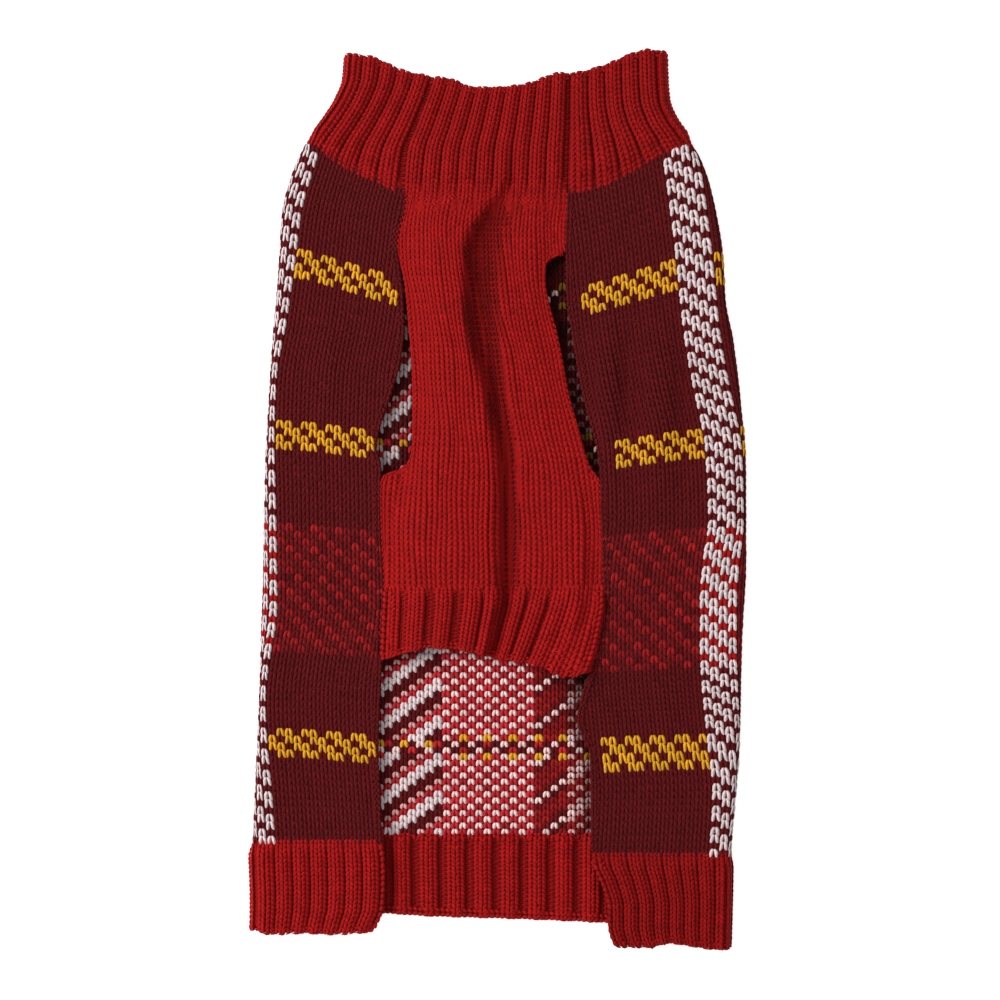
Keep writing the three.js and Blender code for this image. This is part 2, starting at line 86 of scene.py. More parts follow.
FOLDS = {  # outer faces of the side folds
    "y": (190, 177, 168, 160, 151, 143, 132, 122, 105, 84, 67, 42, 11, -25, -59, -101, -126, -147,
          -168, -188),
    "left": (-64.3, -65.4, -68.9, -74.0, -80.6, -85.0, -89.0, -91.4, -92.6, -93.9, -95.6, -97.2,
             -98.7, -99.3, -100.4, -101.9, -103.1, -103.8, -103.2, -103.6),
    "right": (69.6, 70.0, 70.8, 74.0, 80.6, 85.6, 89.5, 91.8, 94.7, 96.0, 99.3, 102.3, 104.6,
              104.6, 102.9, 101.9, 100.0, 98.4, 98.0, 97.4),
}
FLANK_EDGES = {  # free or sewn edges of the flanks
    "y": (190, 177, 158, 147, 131, 122, 113, 106, 104.2, 102.4, 99, 93, 83, 73, 60, 43, 32, 22, 16,
          12.6, 10.6, 8.6, -8, -25, -42, -55, -65, -74, -84, -93, -99, -105, -120, -142, -153, -160,
          -171, -178, -183, -188),
    "left": (-23.5, -26.3, -33.0, -37.0, -38.6, -39.5, -42.0, -42.8, -42.7, -42.4, -41.8, -41.1,
             -40.1, -39.8, -41.2, -46.0, -49.8, -51.6, -49.9, -49.4, -49.6, -49.8, -49.8, -49.0,
             -48.2, -48.8, -49.1, -49.5, -50.0, -50.4, -50.6, -50.8, -50.0, -49.2, -48.3, -48.2,
             -48.8, -51.6, -53.4, -54.0),
    "right": (30.6, 30.3, 30.0, 29.6, 29.2, 28.8, 28.4, 28.3, 28.4, 28.5, 28.6, 28.6, 29.0, 30.6,
              32.8, 36.0, 39.0, 41.6, 42.6, 42.8, 42.9, 43.0, 43.2, 44.0, 44.4, 42.8, 40.7, 37.6,
              34.6, 33.4, 35.6, 38.4, 39.1, 39.1, 40.4, 43.6, 46.6, 46.6, 47.6, 50.6),
}
OPENING_ROWS = (8, 22)  # of that table, in which the leg openings part the belly from the flanks
BELLY_END = 28  # the row after the belly's last one
OPENINGS = {  # the belly's edges there
    "left": (-42.2, -41.7, -40.9, -39.5, -38.4, -37.5, -36.4, -36.0, -36.0, -36.2, -37.6, -41.6,
             -46.6, -49.8),
    "right": (27.0, 22.0, 19.6, 19.4, 21.0, 23.8, 26.6, 29.8, 33.0, 35.6, 37.6, 39.0, 40.6, 43.0),
}
BELLY_EDGES = {"y": FLANK_EDGES["y"][:BELLY_END]} | {
    side: FLANK_EDGES[side][:OPENING_ROWS[0]] + edge + FLANK_EDGES[side][OPENING_ROWS[1]:BELLY_END]
    for side, edge in OPENINGS.items()
}
NECK_LINE = {
    "x": (-86, -79, -71, -60, -50, -38, 29, 38, 46, 55, 63, 70, 81, 86),
    "y": (152.5, 150.4, 145.5, 139.7, 135.5, 131, 131, 132.1, 135, 139.7, 144, 147.2, 149.5, 150),
}
NECK_EDGE = {
    "x": (-65, -54, -45, -37, -27, -19, -10, 0, 12, 18, 25, 33, 40, 47, 55, 63, 71),
    "y": (186.7, 185.4, 181.7, 179.1, 177.5, 176.2, 172.9, 172.8, 174.3, 176.4, 179, 179.1, 180.8,
          182.9, 186.3, 188.3, 187.2),
}
HEM_EDGE_LEFT = {"x": (-103, -95, -81, -67, -53), "y": (-178, -181.2, -180.6, -181.2, -180.4)}
HEM_EDGE_RIGHT = {
    "x": (50, 61, 71, 82, 92, 98),
    "y": (-186.6, -186.7, -184.9, -186.3, -187.5, -186.3),
}
HEM_EDGE_BACK = {
    "x": (-99, -80, -50, -30, 4, 46, 75, 94),
    "y": (-176.5, -174.5, -173.3, -174.5, -175.6, -177.5, -181, -184.5),
}
HEM_EDGE_BELLY = {
    "share": (0, 0.1, 0.21, 0.37, 0.49, 0.6, 0.72, 0.84, 0.94, 1),
    "y": (-66.8, -64, -61.2, -62, -64, -66.2, -67.4, -69.6, -73.6, -71.6),
}
FURROW = {  # the long furrow down the belly, and between which x the cloth swells beside it
    "y": (190, 160, 143, 131, 122, 112, 102, 83, 67, 54, 41, 27, 12, -17, -38, -50, -75),
    "x": (17.0, 14.0, 10.5, 7.2, 1.5, -4.2, -6.3, -6.7, -5.3, -2.7, -0.4, 2.0, 3.9, 4.0, 3.8, 0.8,
          -5.0),
    "half": (3.0, 4.2, 5.0, 5.6, 6.4, 7.1, 6.9, 6.5, 5.9, 4.8, 4.0, 3.7, 3.7, 3.6, 3.6, 3.6, 3.6),
    "swell": (0, 0.3, 0.6, 1.2, 2.6, 3.5, 3.8, 4.0, 4.0, 3.8, 3.6, 3.4, 3.4, 3.2, 3.0, 2.8, 2.2),
    "from": (-24, -32, -38, -39, -40, -40, -41, -39, -37, -36, -36, -37, -41, -49, -49, -49, -49),
    "to": (31, 30, 30, 29, 28, 26, 23, 21, 25, 28, 31, 34, 38, 42, 44, 43, 38),
}
SWELL_EDGE = 17.0  # distance over which the swell runs out
FULLER = (1.4, 0.5)  # how the cloth swells left and right of the furrow, to its solid
GROOVE_HALF = 1.0925  # half width of the furrow's floor, to the table's
SWELLS_FULLER = 1.6
SWELLS = (  # soft swells: middle x and y, reach across and along, height
    (-72, 62, 9, 34, 1.0), (-74, -62, 10, 38, 0.8), (69, 42, 7, 34, 1.8), (47, 48, 5, 30, 1.3),
    (72, -82, 9, 34, 1.0), (-22, -20, 12, 26, 0.6), (14, 96, 6, 14, 0.8), (33, -30, 5, 30, 0.9),
    (36, -74, 8, 9, 1.3), (-46, -68, 8, 8, 0.8), (-31, 108, 6, 24, 0.5),
)

# The knitting
BELLY_ROWS = 73
BELLY_COLUMNS = 18
BELLY_LINES = {  # where the 18 columns lie that run the whole way down the belly
    "y": (131, 113, 99, 83, 60, 32, 16, 0, -20, -38),
    "left": (-38.6, -41.5, -40.9, -38.4, -36.4, -36.0, -37.2, -38.5, -39.0, -38.6),
    "right": (20.8, 19.0, 19.6, 21.0, 26.6, 33.0, 37.6, 39.6, 40.6, 40.2),
}
STRIPES = {  # inner side of the flanks' white stripes
    "left": {
        "y": (147, 121, 105, 76, 51, 25, 0, -42, -84, -126, -143),
        "x": (-75.0, -82.5, -84.6, -88.4, -92.6, -93.5, -93.0, -92.6, -97.2, -94.7, -93.5),
    },
    "right": {
        "y": (147, 143, 105, 72, 51, 21, -8, -25, -42, -63, -101, -122, -147),
        "x": (68.4, 69.1, 74.1, 77.5, 81.0, 86.8, 88.0, 85.9, 84.6, 84.6, 87.6, 89.7, 88.4),
    },
}
STRIPE_COLUMNS = 4
STRIPE_PITCH = {"left": 3.6, "right": 3.9}  # of a stripe's columns
BODY_PITCH = 3.45  # of the flanks' columns inward of it
BEYOND_PITCH = 3.5  # and round the fold
FLANK_COLUMNS = (-7, 23)  # from under the garment to past the inner edge
ROWS = {  # rows of the body panel: their height at the flank's middle, and their rise
    "left": {
        "row": (0, 15, 19, 39, 43, 53, 71, 82, 86, 98),
        "y": (144.9, 101.7, 89.5, 31.6, 19.7, -11.1, -64.9, -97.2, -109.0, -144.0),
        "rise": (-0.48, -0.29, -0.29, -0.12, -0.12, -0.10, -0.09, -0.09, -0.09, 0.0),
    },
    "right": {
        "row": (0, 15, 19, 39, 43, 53, 71, 82, 86, 98),
        "y": (144.0, 98.4, 85.5, 27.4, 15.6, -13.2, -71.2, -98.9, -113.2, -149.5),
        "rise": (0.38, 0.30, 0.28, 0.16, 0.14, 0.10, 0.06, 0.04, 0.04, 0.0),
    },
}
ROW_MIDDLE = {"left": -68.7, "right": 63.6}
ROW_REACH = 12.0  # how far outward of that the rows keep rising
ROW_EASE = 0.45  # share of the rise that is left beyond
BODY_ROWS = 98
YELLOW_BANDS = ((15, 19), (39, 43), (82, 86))  # first row, and the row after the last
YELLOW_STOP = {"left": 0.6, "right": 1.6}  # columns from the inner edge to the yellow
RED_BAND = (53, 71)
TWILL = 3  # columns and rows to a diagonal of the plaid
RIB_HALF = 0.42  # half of a rib's two columns, to the distance between ribs
EDGE_LINK = 2.5  # length of a link of the chains along the edges
EDGE_WIDTH = 3.0
SELVEDGE_WIDTH = 2.5
UP = np.array([0.0, 0.0, 1.0])


def mix(start: Any, end: Any, share: Any) -> Any:
    """Value at a share of the way from one end to the other."""
    return start + (end - start) * share


def smooth(value: Array) -> Array:
    """A step from 0 to 1 with soft ends."""
    share = np.clip(value, 0.0, 1.0)
    return share * share * (3 - 2 * share)


def unit(vectors: Array) -> Array:
    """Vectors of length 1."""
    return vectors / np.maximum(np.linalg.norm(vectors, axis=-1, keepdims=True), 1e-9)


def points(x: Array, y: Array, z: Array) -> Array:
    """Points from their coordinates, which may be numbers or arrays."""
    return np.stack(np.broadcast_arrays(x, y, z), axis=-1).astype(float)


def grid(columns: Array, rows: Array) -> tuple[Array, Array]:
    """Column and row of every crossing."""
    column, row = np.meshgrid(columns, rows)
    return column.ravel(), row.ravel()


def to_frame(places: Array) -> Array:
    """Points of the tables, in millimetres, in the frame's metres."""
    return (places - np.array(MIDDLE)) * MM


def linear(red: int, green: int, blue: int) -> tuple[float, float, float]:
    """A colour of 0 to 255 as the shader wants it."""
    shares = [value / 255 for value in (red, green, blue)]
    return tuple(s / 12.92 if s <= 0.04045 else ((s + 0.055) / 1.055) ** 2.4 for s in shares)


class Side(Enum):
    """A side of the sweater as it lies, seen from above."""

    LEFT = "left"
    RIGHT = "right"

    @property
    def inward(self) -> int:
        """Which way along X the garment's middle lies."""
        return 1 if self is Side.LEFT else -1


class Curve:
    """A smooth curve through two columns of a table, which never swings past its rows."""

    def __init__(self, table: dict[str, tuple], at: str, value: str) -> None:
        """Keep the rows in order and work out the slope at each.

        Args:
            table: Named columns of numbers.
            at: Name of the column to read along.
            value: Name of the column to read.
        """
        order = np.argsort(table[at])
        self.at = np.asarray(table[at], float)[order]
        self.value = np.asarray(table[value], float)[order]
        grade = np.diff(self.value) / np.diff(self.at)
        before = np.concatenate([grade[:1], grade])
        after = np.concatenate([grade, grade[-1:]])
        total = np.where(before + after == 0, 1.0, before + after)
        self.slope = np.where(before * after > 0, 2 * before * after / total, 0.0)

    def __call__(self, position: Any) -> Array:
        """Value at a position."""
        x = np.clip(position, self.at[0], self.at[-1])
        i = np.clip(np.searchsorted(self.at, x) - 1, 0, len(self.at) - 2)
        length = self.at[i + 1] - self.at[i]
        t = (x - self.at[i]) / length
        bend = self.slope[i] * (1 - t) - self.slope[i + 1] * t
        return mix(self.value[i], self.value[i + 1], smooth(t)) + length * t * (1 - t) * bend


def by_side(table: dict[str, tuple]) -> dict[Side, Curve]:
    """Curves of a table's left and right columns along y."""
    return {side: Curve(table, "y", side.value) for side in Side}


class Form:
    """Where the middle of each stretch of cloth lies."""

    def __init__(self) -> None:
        """Make the curves of the tables."""
        self.fold = by_side(FOLDS)
        self.flank_edge = by_side(FLANK_EDGES)
        self.belly_edge = by_side(BELLY_EDGES)
        self.furrow = {name: Curve(FURROW, "y", name) for name in FURROW if name != "y"}
        self.neck_line = Curve(NECK_LINE, "x", "y")
        self.neck_edge = Curve(NECK_EDGE, "x", "y")
        hem_edges = {Side.LEFT: HEM_EDGE_LEFT, Side.RIGHT: HEM_EDGE_RIGHT}
        self.hem_edge = {side: Curve(table, "x", "y") for side, table in hem_edges.items()}
        self.hem_edge_back = Curve(HEM_EDGE_BACK, "x", "y")
        self.hem_edge_belly = Curve(HEM_EDGE_BELLY, "share", "y")
        self.hem_line = {side: HEM_LINES[side.value] for side in Side}

    def belly_relief(self, x: Array, y: Array) -> Array:
        """How far the belly stands above the front's resting level."""
        reach = {name: curve(y) for name, curve in self.furrow.items()}
        inside = np.minimum(x - reach["from"], reach["to"] - x)
        offset = (x - reach["x"]) / reach["half"]
        groove = np.exp(-((offset / GROOVE_HALF) ** 4))
        swell = reach["swell"] * mix(*FULLER, smooth((offset + 1) / 2))
        return smooth(inside / SWELL_EDGE) * swell * (1 - groove)

    def front_height(self, x: Array, y: Array) -> Array:
        """Height of the middle of the front's cloth."""
        from_fold = np.minimum(x - self.fold[Side.LEFT](y), self.fold[Side.RIGHT](y) - x) - ROUND
        settled = smooth(from_fold / SETTLE)
        over_hem = RIB_RISE * smooth((HEM_LINE_BACK + HEM_LIFT[0] - y) / HEM_LIFT[1])
        swell = sum(
            high * np.exp(-(((x - at_x) / across) ** 2) - (((y - at_y) / along) ** 2))
            for at_x, at_y, across, along, high in SWELLS
        )
        level = mix(FOLD_TOP, REST + over_hem, settled)
        return level + SWELLS_FULLER * settled * swell + self.belly_relief(x, y)

    def on_front(self, x: Array, y: Array) -> Array:
        """Points of the middle of the front's cloth."""
        return points(x, y, self.front_height(x, y))

    def centre(self, side: Side, y: Array) -> Array:
        """X of the middle of a side fold's round."""
        return self.fold[side](y) + side.inward * ROUND

    def flank_by_arc(self, side: Side, arc: Array, y: Array, quarter: float) -> Array:
        """A point of a flank at a length of cloth inward from the end of the fold's upper quarter.

        Args:
            side: Which flank.
            arc: Length along the cloth, negative round the fold and under the garment.
            y: Place along the garment.
            quarter: Length that a quarter turn takes.

        Returns:
            The points.
        """
        centre = self.centre(side, y)
        angle = np.clip(1 + arc / quarter, -1, 1) * math.pi / 2
        under = np.minimum(arc + 2 * quarter, 0)
        x = centre - side.inward * (FOLD_RADIUS * np.cos(angle) + under)
        x = np.where(arc > 0, centre + side.inward * arc, x)
        z = WALL / 2 + FOLD_RADIUS * (1 + np.sin(angle))
        return points(x, y, np.where(arc > 0, self.front_height(x, y), z))

    def flank_by_turn(self, side: Side, turn: Array, y: Array) -> Array:
        """A point of a flank: turn runs from -2, under the garment, to 2 at the inner edge."""
        width = side.inward * (self.flank_edge[side](y) - self.centre(side, y)) - SEAM / 2
        arc = (turn - 1) * np.where(turn > 1, width, QUARTER)
        under = (turn + 1) * TURN_UNDER - 2 * QUARTER
        return self.flank_by_arc(side, np.where(turn < -1, under, arc), y, QUARTER)

    def back_edge(self, side: Side, y: Array) -> Array:
        """X where the back meets a flank's turned-under part."""
        return self.centre(side, y) + side.inward * (TURN_UNDER + SEAM)

    def back(self, share: Array, y: Array) -> Array:
        """A point of the back at a share of its width."""
        x = mix(self.back_edge(Side.LEFT, y), self.back_edge(Side.RIGHT, y), share)
        return points(x, y, WALL / 2)

    def belly(self, share: Array, y: Array) -> Array:
        """A point of the belly's pieces at a share of their width."""
        left, right = (self.belly_edge[side](y) + side.inward * SEAM / 2 for side in Side)
        return self.on_front(mix(left, right, share), y)


class Yarn(Enum):
    """The yarns as they show, with their colour, how plump they are and how high they stand."""

    RED = (linear(159, 18, 18), 1.0, 0.72)
    RIB_RED = (linear(163, 18, 19), 1.0, 0.68)
    BURGUNDY = (linear(90, 14, 17), 1.0, 0.66)
    WHITE = (linear(224, 203, 204), 1.07, 0.98)
    YELLOW = (linear(224, 161, 38), 1.05, 0.98)
    BLENDED = (linear(103, 16, 19), 1.0, 0.66)  # burgundy beside red, which shows through it
    TWILL_RED = (linear(140, 22, 24), 1.0, 0.76)
    FLOAT = (linear(242, 206, 202), 0.96, 1.0)  # white, as it shows on the inside
    FLECK = (linear(218, 160, 156), 0.76, 0.8)  # the same white, half sunk between red loops and painted darker there: painted shade
    INNER_RED = (linear(184, 36, 44), 1.0, 0.8)

    @property
    def number(self) -> int:
        """Place in the palette."""
        return list(Yarn).index(self)


PALETTE, PLUMPNESS, STAND = (np.array(values) for values in zip(*(y.value for y in Yarn)))
SHADES = (0.68, 1.35)  # darkest and lightest stitch, to a yarn's own shade
MIXED = (Yarn.TWILL_RED, Yarn.BLENDED, Yarn.INNER_RED)
UNEVEN_SHADE = np.array([0.15 if yarn in MIXED else 0.06 for yarn in Yarn])
UNEVEN_PLUMPNESS = 0.03
UNEVEN_LINK = 0.08  # shade of a chain's links


def pick(choices: list[tuple[Array, Yarn]], otherwise: Yarn) -> Array:
    """Numbers of the yarns of the first choice that holds."""
    masks = [mask for mask, _ in choices]
    return np.select(masks, [yarn.number for _, yarn in choices], otherwise.number)


def between(row: Array, band: tuple[int, int]) -> Array:
    """Whether rows lie in a band, given by its first row and the row after its last."""
    return (row >= band[0]) & (row < band[1])


def outside_chart(row: Array, column: Array, stripe: Array) -> Array:
    """Yarn of each stitch on the outside of the body panel.

    Args:
        row: Rows, counted down from the neck rib.
        column: Columns, counted to the right.
        stripe: True in the columns of a white stripe.

    Returns:
        Numbers of the yarns.
    """
    diagonal = (row - column) % TWILL
    in_red = between(row, RED_BAND)
    in_yellow = np.any([between(row, band) for band in YELLOW_BANDS], axis=0)
    choices = [
        (stripe & (diagonal != 0), Yarn.WHITE),
        (stripe & in_red, Yarn.RED),
        (~stripe & in_yellow & (diagonal != 0), Yarn.YELLOW),
        (~stripe & in_red & (diagonal == 0), Yarn.TWILL_RED),
        (~stripe & in_red, Yarn.BLENDED),
    ]
    return pick(choices, Yarn.BURGUNDY)


CHECKER_COLUMNS = (7, 18)  # of the inside of the back, counted from its visible left edge
FLOAT_COLUMN = 22  # from here on the floats of the next stripe show
INSIDE_PERIOD = 6  # rows from one slanting float to the next
INSIDE_BANDS = ((15, 18), (39, 42), (87, 90))  # the two rows of yellow in each band


def inside_chart(row: Array, column: Array) -> Array:
    """Yarn of each stitch on the inside of the back, where the floats of the plaid show.

    Args:
        row: Rows, counted down from the neck rib.
        column: Columns, counted to the right.

    Returns:
        Numbers of the yarns.
    """
    rising = (row + column) % INSIDE_PERIOD
    even = (row + column) % 2 == 0
    left = column < CHECKER_COLUMNS[0]
    checker = between(column, CHECKER_COLUMNS)
    yellow = np.zeros_like(left)
    band = np.zeros_like(left)
    for upper, lower in INSIDE_BANDS:
        band |= (row > upper) & (row < lower)
        yellow |= ~left & ((row == upper) | (row == lower)) & (column % TWILL == 0)
        yellow |= left & (row == upper + 1) & (column % TWILL == 2)
    choices = [
        (yellow, Yarn.YELLOW),
        (band & even & (column % TWILL != 0), Yarn.FLOAT),
        (band & ~even, Yarn.BURGUNDY),
        (band, Yarn.INNER_RED),
        (checker & even, Yarn.FLOAT),
        (checker, Yarn.INNER_RED),
        (left & (rising <= 1), Yarn.WHITE),
        # FLECK is white yarn painted darker as painted shade
        (left & (rising == 4), Yarn.FLECK),
        (left & (rising == 5), Yarn.INNER_RED),
        ((column >= FLOAT_COLUMN) & even, Yarn.FLECK),
        (~left & (rising == 1), Yarn.FLOAT),
        (~left & (rising >= 3), Yarn.TWILL_RED),
        (~left, Yarn.BLENDED),
    ]
    return pick(choices, Yarn.BURGUNDY)


@dataclass
class Stitches:
    """Stitches to set: a middle and three directions for each, in millimetres, and its colour."""

    middle: Array
    across: Array
    along: Array
    rise: Array
    tint: Array

    @staticmethod
    def joined(several: list["Stitches"]) -> "Stitches":
        """All of them in one."""
        return Stitches(*(np.concatenate(parts) for parts in zip(*(vars(s).values() for s in several))))

    def kept(self, mask: Array) -> "Stitches":
        """Those for which the mask holds."""
        return Stitches(*(values[mask] for values in vars(self).values()))

    def dim(self, shade: Any) -> "Stitches":
        """Darken each one, or all alike."""
        self.tint[:, :3] *= np.reshape(shade, (-1, 1))
        return self


class Knit:
    """Cloth whose stitches have a column and a row."""

    lift = 0.4  # of a stitch's foot above the middle of the cloth
    height = 0.8  # of a stitch above its foot
    step = 0.1
    least = 0.3  # of a column that is still knitted at an edge
    facing = 1  # -1 where the outer face looks the other way

    def middle(self, column: Array, row: Array) -> Array:
        """Middle of the cloth at a column and a row."""
        raise NotImplementedError

    def relief(self, column: Array, row: Array) -> Array:
        """How far the outer face is raised there."""
        return np.zeros(np.broadcast(column, row).shape)

    def surface(self, column: Array, row: Array) -> Array:
        """The raised middle of the cloth."""
        across = self.middle(column + self.step, row) - self.middle(column - self.step, row)
        along = self.middle(column, row - self.step) - self.middle(column, row + self.step)
        normal = self.facing * unit(np.cross(across, along))
        return self.middle(column, row) + normal * self.relief(column, row)[..., None]

    def stitches(self, column: Array, row: Array, width: Any, yarn: Any, rng: Any) -> Stitches:
        """Stitches at given columns and rows.

        Args:
            column: Middle of each stitch, in columns.
            row: Middle of each stitch, in rows.
            width: Width of a stitch, in columns.
            yarn: Number of the yarn, or of each stitch's yarn.
            rng: Source of the small differences between stitches.

        Returns:
            The stitches.
        """
        yarn = np.broadcast_to(yarn, column.shape)
        half = width / 2
        across = self.surface(column + half, row) - self.surface(column - half, row)
        along = self.surface(column, row - 0.5) - self.surface(column, row + 0.5)
        normal = unit(np.cross(across, along))
        plump = (PLUMPNESS[yarn] * rng.normal(1, UNEVEN_PLUMPNESS, len(yarn)))[:, None]
        shade = np.clip(rng.normal(1, UNEVEN_SHADE[yarn]), *SHADES)[:, None]
        return Stitches(
            self.surface(column, row) + normal * self.lift,
            across * (0.5 + 0.5 * plump),
            along * plump,
            normal * self.height * STAND[yarn][:, None] * plump,
            tinted(PALETTE[yarn] * shade),
        )


def tinted(colour: Array) -> Array:
    """Colours in range, with full cover."""
    return np.clip(np.concatenate([colour, np.ones((len(colour), 1))], axis=1), 0, 1)


def chain(path: Array, up: Array, width: float, yarn: Yarn, rng: Any) -> Stitches:
    """A chain of stitches along a path, as along a selvedge or a cast-off edge.

    Args:
        path: Points, one at each end of each link.
        up: Which way the chain's outer face looks.
        width: Width of the chain.
        yarn: What it is made of.
        rng: Source of the small differences between links.

    Returns:
        The links.
    """
    link = np.diff(path, axis=0)
    across = unit(np.cross(link, up)) * width
    normal = unit(np.cross(across, link))
    tint = tinted(PALETTE[[yarn.number]] * rng.normal(1, UNEVEN_LINK, (len(link), 1)))
    middle = (path[1:] + path[:-1]) / 2 + normal * Knit.lift
    return Stitches(middle, across, link, normal * Knit.height * STAND[yarn.number], tint)


def even_path(path: Array, spacing: float) -> Array:
    """The same path with its points at an even spacing, and with them what else is given."""
    steps = np.linalg.norm(np.diff(path[:, :3], axis=0), axis=1)
    gone = np.concatenate([[0.0], np.cumsum(steps)])
    at = np.linspace(0, gone[-1], max(2, round(gone[-1] / spacing) + 1))
    return np.stack([np.interp(at, gone, values) for values in path.T], axis=1)


def within(column: Array, first: Array, last: Array) -> tuple[Array, Array]:
    """Middle and width of the part of each stitch that lies between two columns."""
    start = np.maximum(column, first)
    end = np.minimum(column + 1, last)
    return (start + end) / 2, end - start


@dataclass(frozen=True)
class Selvedge:
    """A chain along a side edge of the front, up to the neck rib."""

    inset: float  # along X from the edge
    lift: float
    width: float
    yarn: Yarn

    def build(self, form: Form, edge: Curve, start: float, rng: Any) -> Stitches:
        """The links, from a height up."""
        y = np.arange(start, READ_BELLY_NECK_LINE, EDGE_LINK)
        return chain(
            form.on_front(edge(y) + self.inset, y) + self.lift * UP, UP, self.width, self.yarn, rng
        )


class FlankKnit(Knit):
    """The body panel's knitting on one flank, round its side fold and a little way under."""

    edge_inset = 1.1  # of the chain along the inner edge

    def __init__(self, form: Form, side: Side) -> None:
        """Read the stripe and the rows of the flank's tables."""
        self.form = form
        self.side = side
        self.stripe = Curve(STRIPES[side.value], "y", "x")
        self.row_y = Curve(ROWS[side.value], "row", "y")
        self.row_rise = Curve(ROWS[side.value], "row", "rise")

    def arc(self, column: Array, y: Array) -> Array:
        """Length of cloth from the fold's upper quarter to a column."""
        start = self.side.inward * (self.stripe(y) - self.form.centre(self.side, y))
        depth = column - STRIPE_COLUMNS if self.side is Side.LEFT else -column
        return (
            start
            + BODY_PITCH * np.maximum(depth, 0)
            + STRIPE_PITCH[self.side.value] * np.clip(depth, -STRIPE_COLUMNS, 0)
            + BEYOND_PITCH * np.minimum(depth + STRIPE_COLUMNS, 0)
        )

    def middle(self, column: Array, row: Array) -> Array:
        """Middle of the cloth at a column and a row."""
        level = self.row_y(row)
        y = level
        outward = -self.side.inward
        for _ in range(3):
            arc = np.maximum(self.arc(column, y), 0)
            x = self.form.centre(self.side, y) + self.side.inward * arc
            out = outward * (x - ROW_MIDDLE[self.side.value])
            bend = np.minimum(out, ROW_REACH) + ROW_EASE * np.maximum(out - ROW_REACH, 0)
            y = level + self.row_rise(row) * outward * bend
        return self.form.flank_by_arc(self.side, self.arc(column, y), y, OUTER_QUARTER)

    def build(self, rng: Any) -> tuple[Stitches, Array]:
        """All the stitches of the flank, and which of them are white or yellow."""
        span = np.arange(*FLANK_COLUMNS)
        if self.side is Side.RIGHT:
            span = STRIPE_COLUMNS - 1 - span
        column, row = grid(span, np.arange(BODY_ROWS))
        x, y, _ = self.middle(column + 0.5, row + 0.5).T
        edge = self.edge_column(y)
        free = np.inf if self.side is Side.LEFT else -np.inf
        middle, width = within(column, np.minimum(edge, -free), np.maximum(edge, -free))
        under_end = 1 - 2 * OUTER_QUARTER - TURN_UNDER
        inside = (width > self.least) & (self.arc(column + 0.5, y) > under_end)
        inside &= (y < self.form.neck_line(x) + 0.2) & (y > self.form.hem_line[self.side] - 0.2)
        column, row, middle, width, edge = (v[inside] for v in (column, row, middle, width, edge))
        yarn = outside_chart(row, column, between(column, (0, STRIPE_COLUMNS)))
        hidden = np.abs(edge - column - 0.5) < YELLOW_STOP[self.side.value]
        yarn[(yarn == Yarn.YELLOW.number) & hidden] = Yarn.BURGUNDY.number
        bright = np.isin(yarn, [Yarn.WHITE.number, Yarn.YELLOW.number])
        return self.stitches(middle, row + 0.5, width, yarn, rng), bright

    def edge_column(self, y: Array) -> Array:
        """The column at which the flank's inner edge lies."""
        depth = self.side.inward * (self.form.flank_edge[self.side](y) - self.stripe(y)) / BODY_PITCH
        return depth + STRIPE_COLUMNS if self.side is Side.LEFT else -depth

    def selvedge(self, rng: Any) -> Stitches:
        """A chain of stitches along the inner edge."""
        inset = -self.side.inward * self.edge_inset
        return Selvedge(inset, 0.1, EDGE_WIDTH, Yarn.BURGUNDY).build(
            self.form, self.form.flank_edge[self.side], self.form.hem_line[self.side] + 1, rng
        )


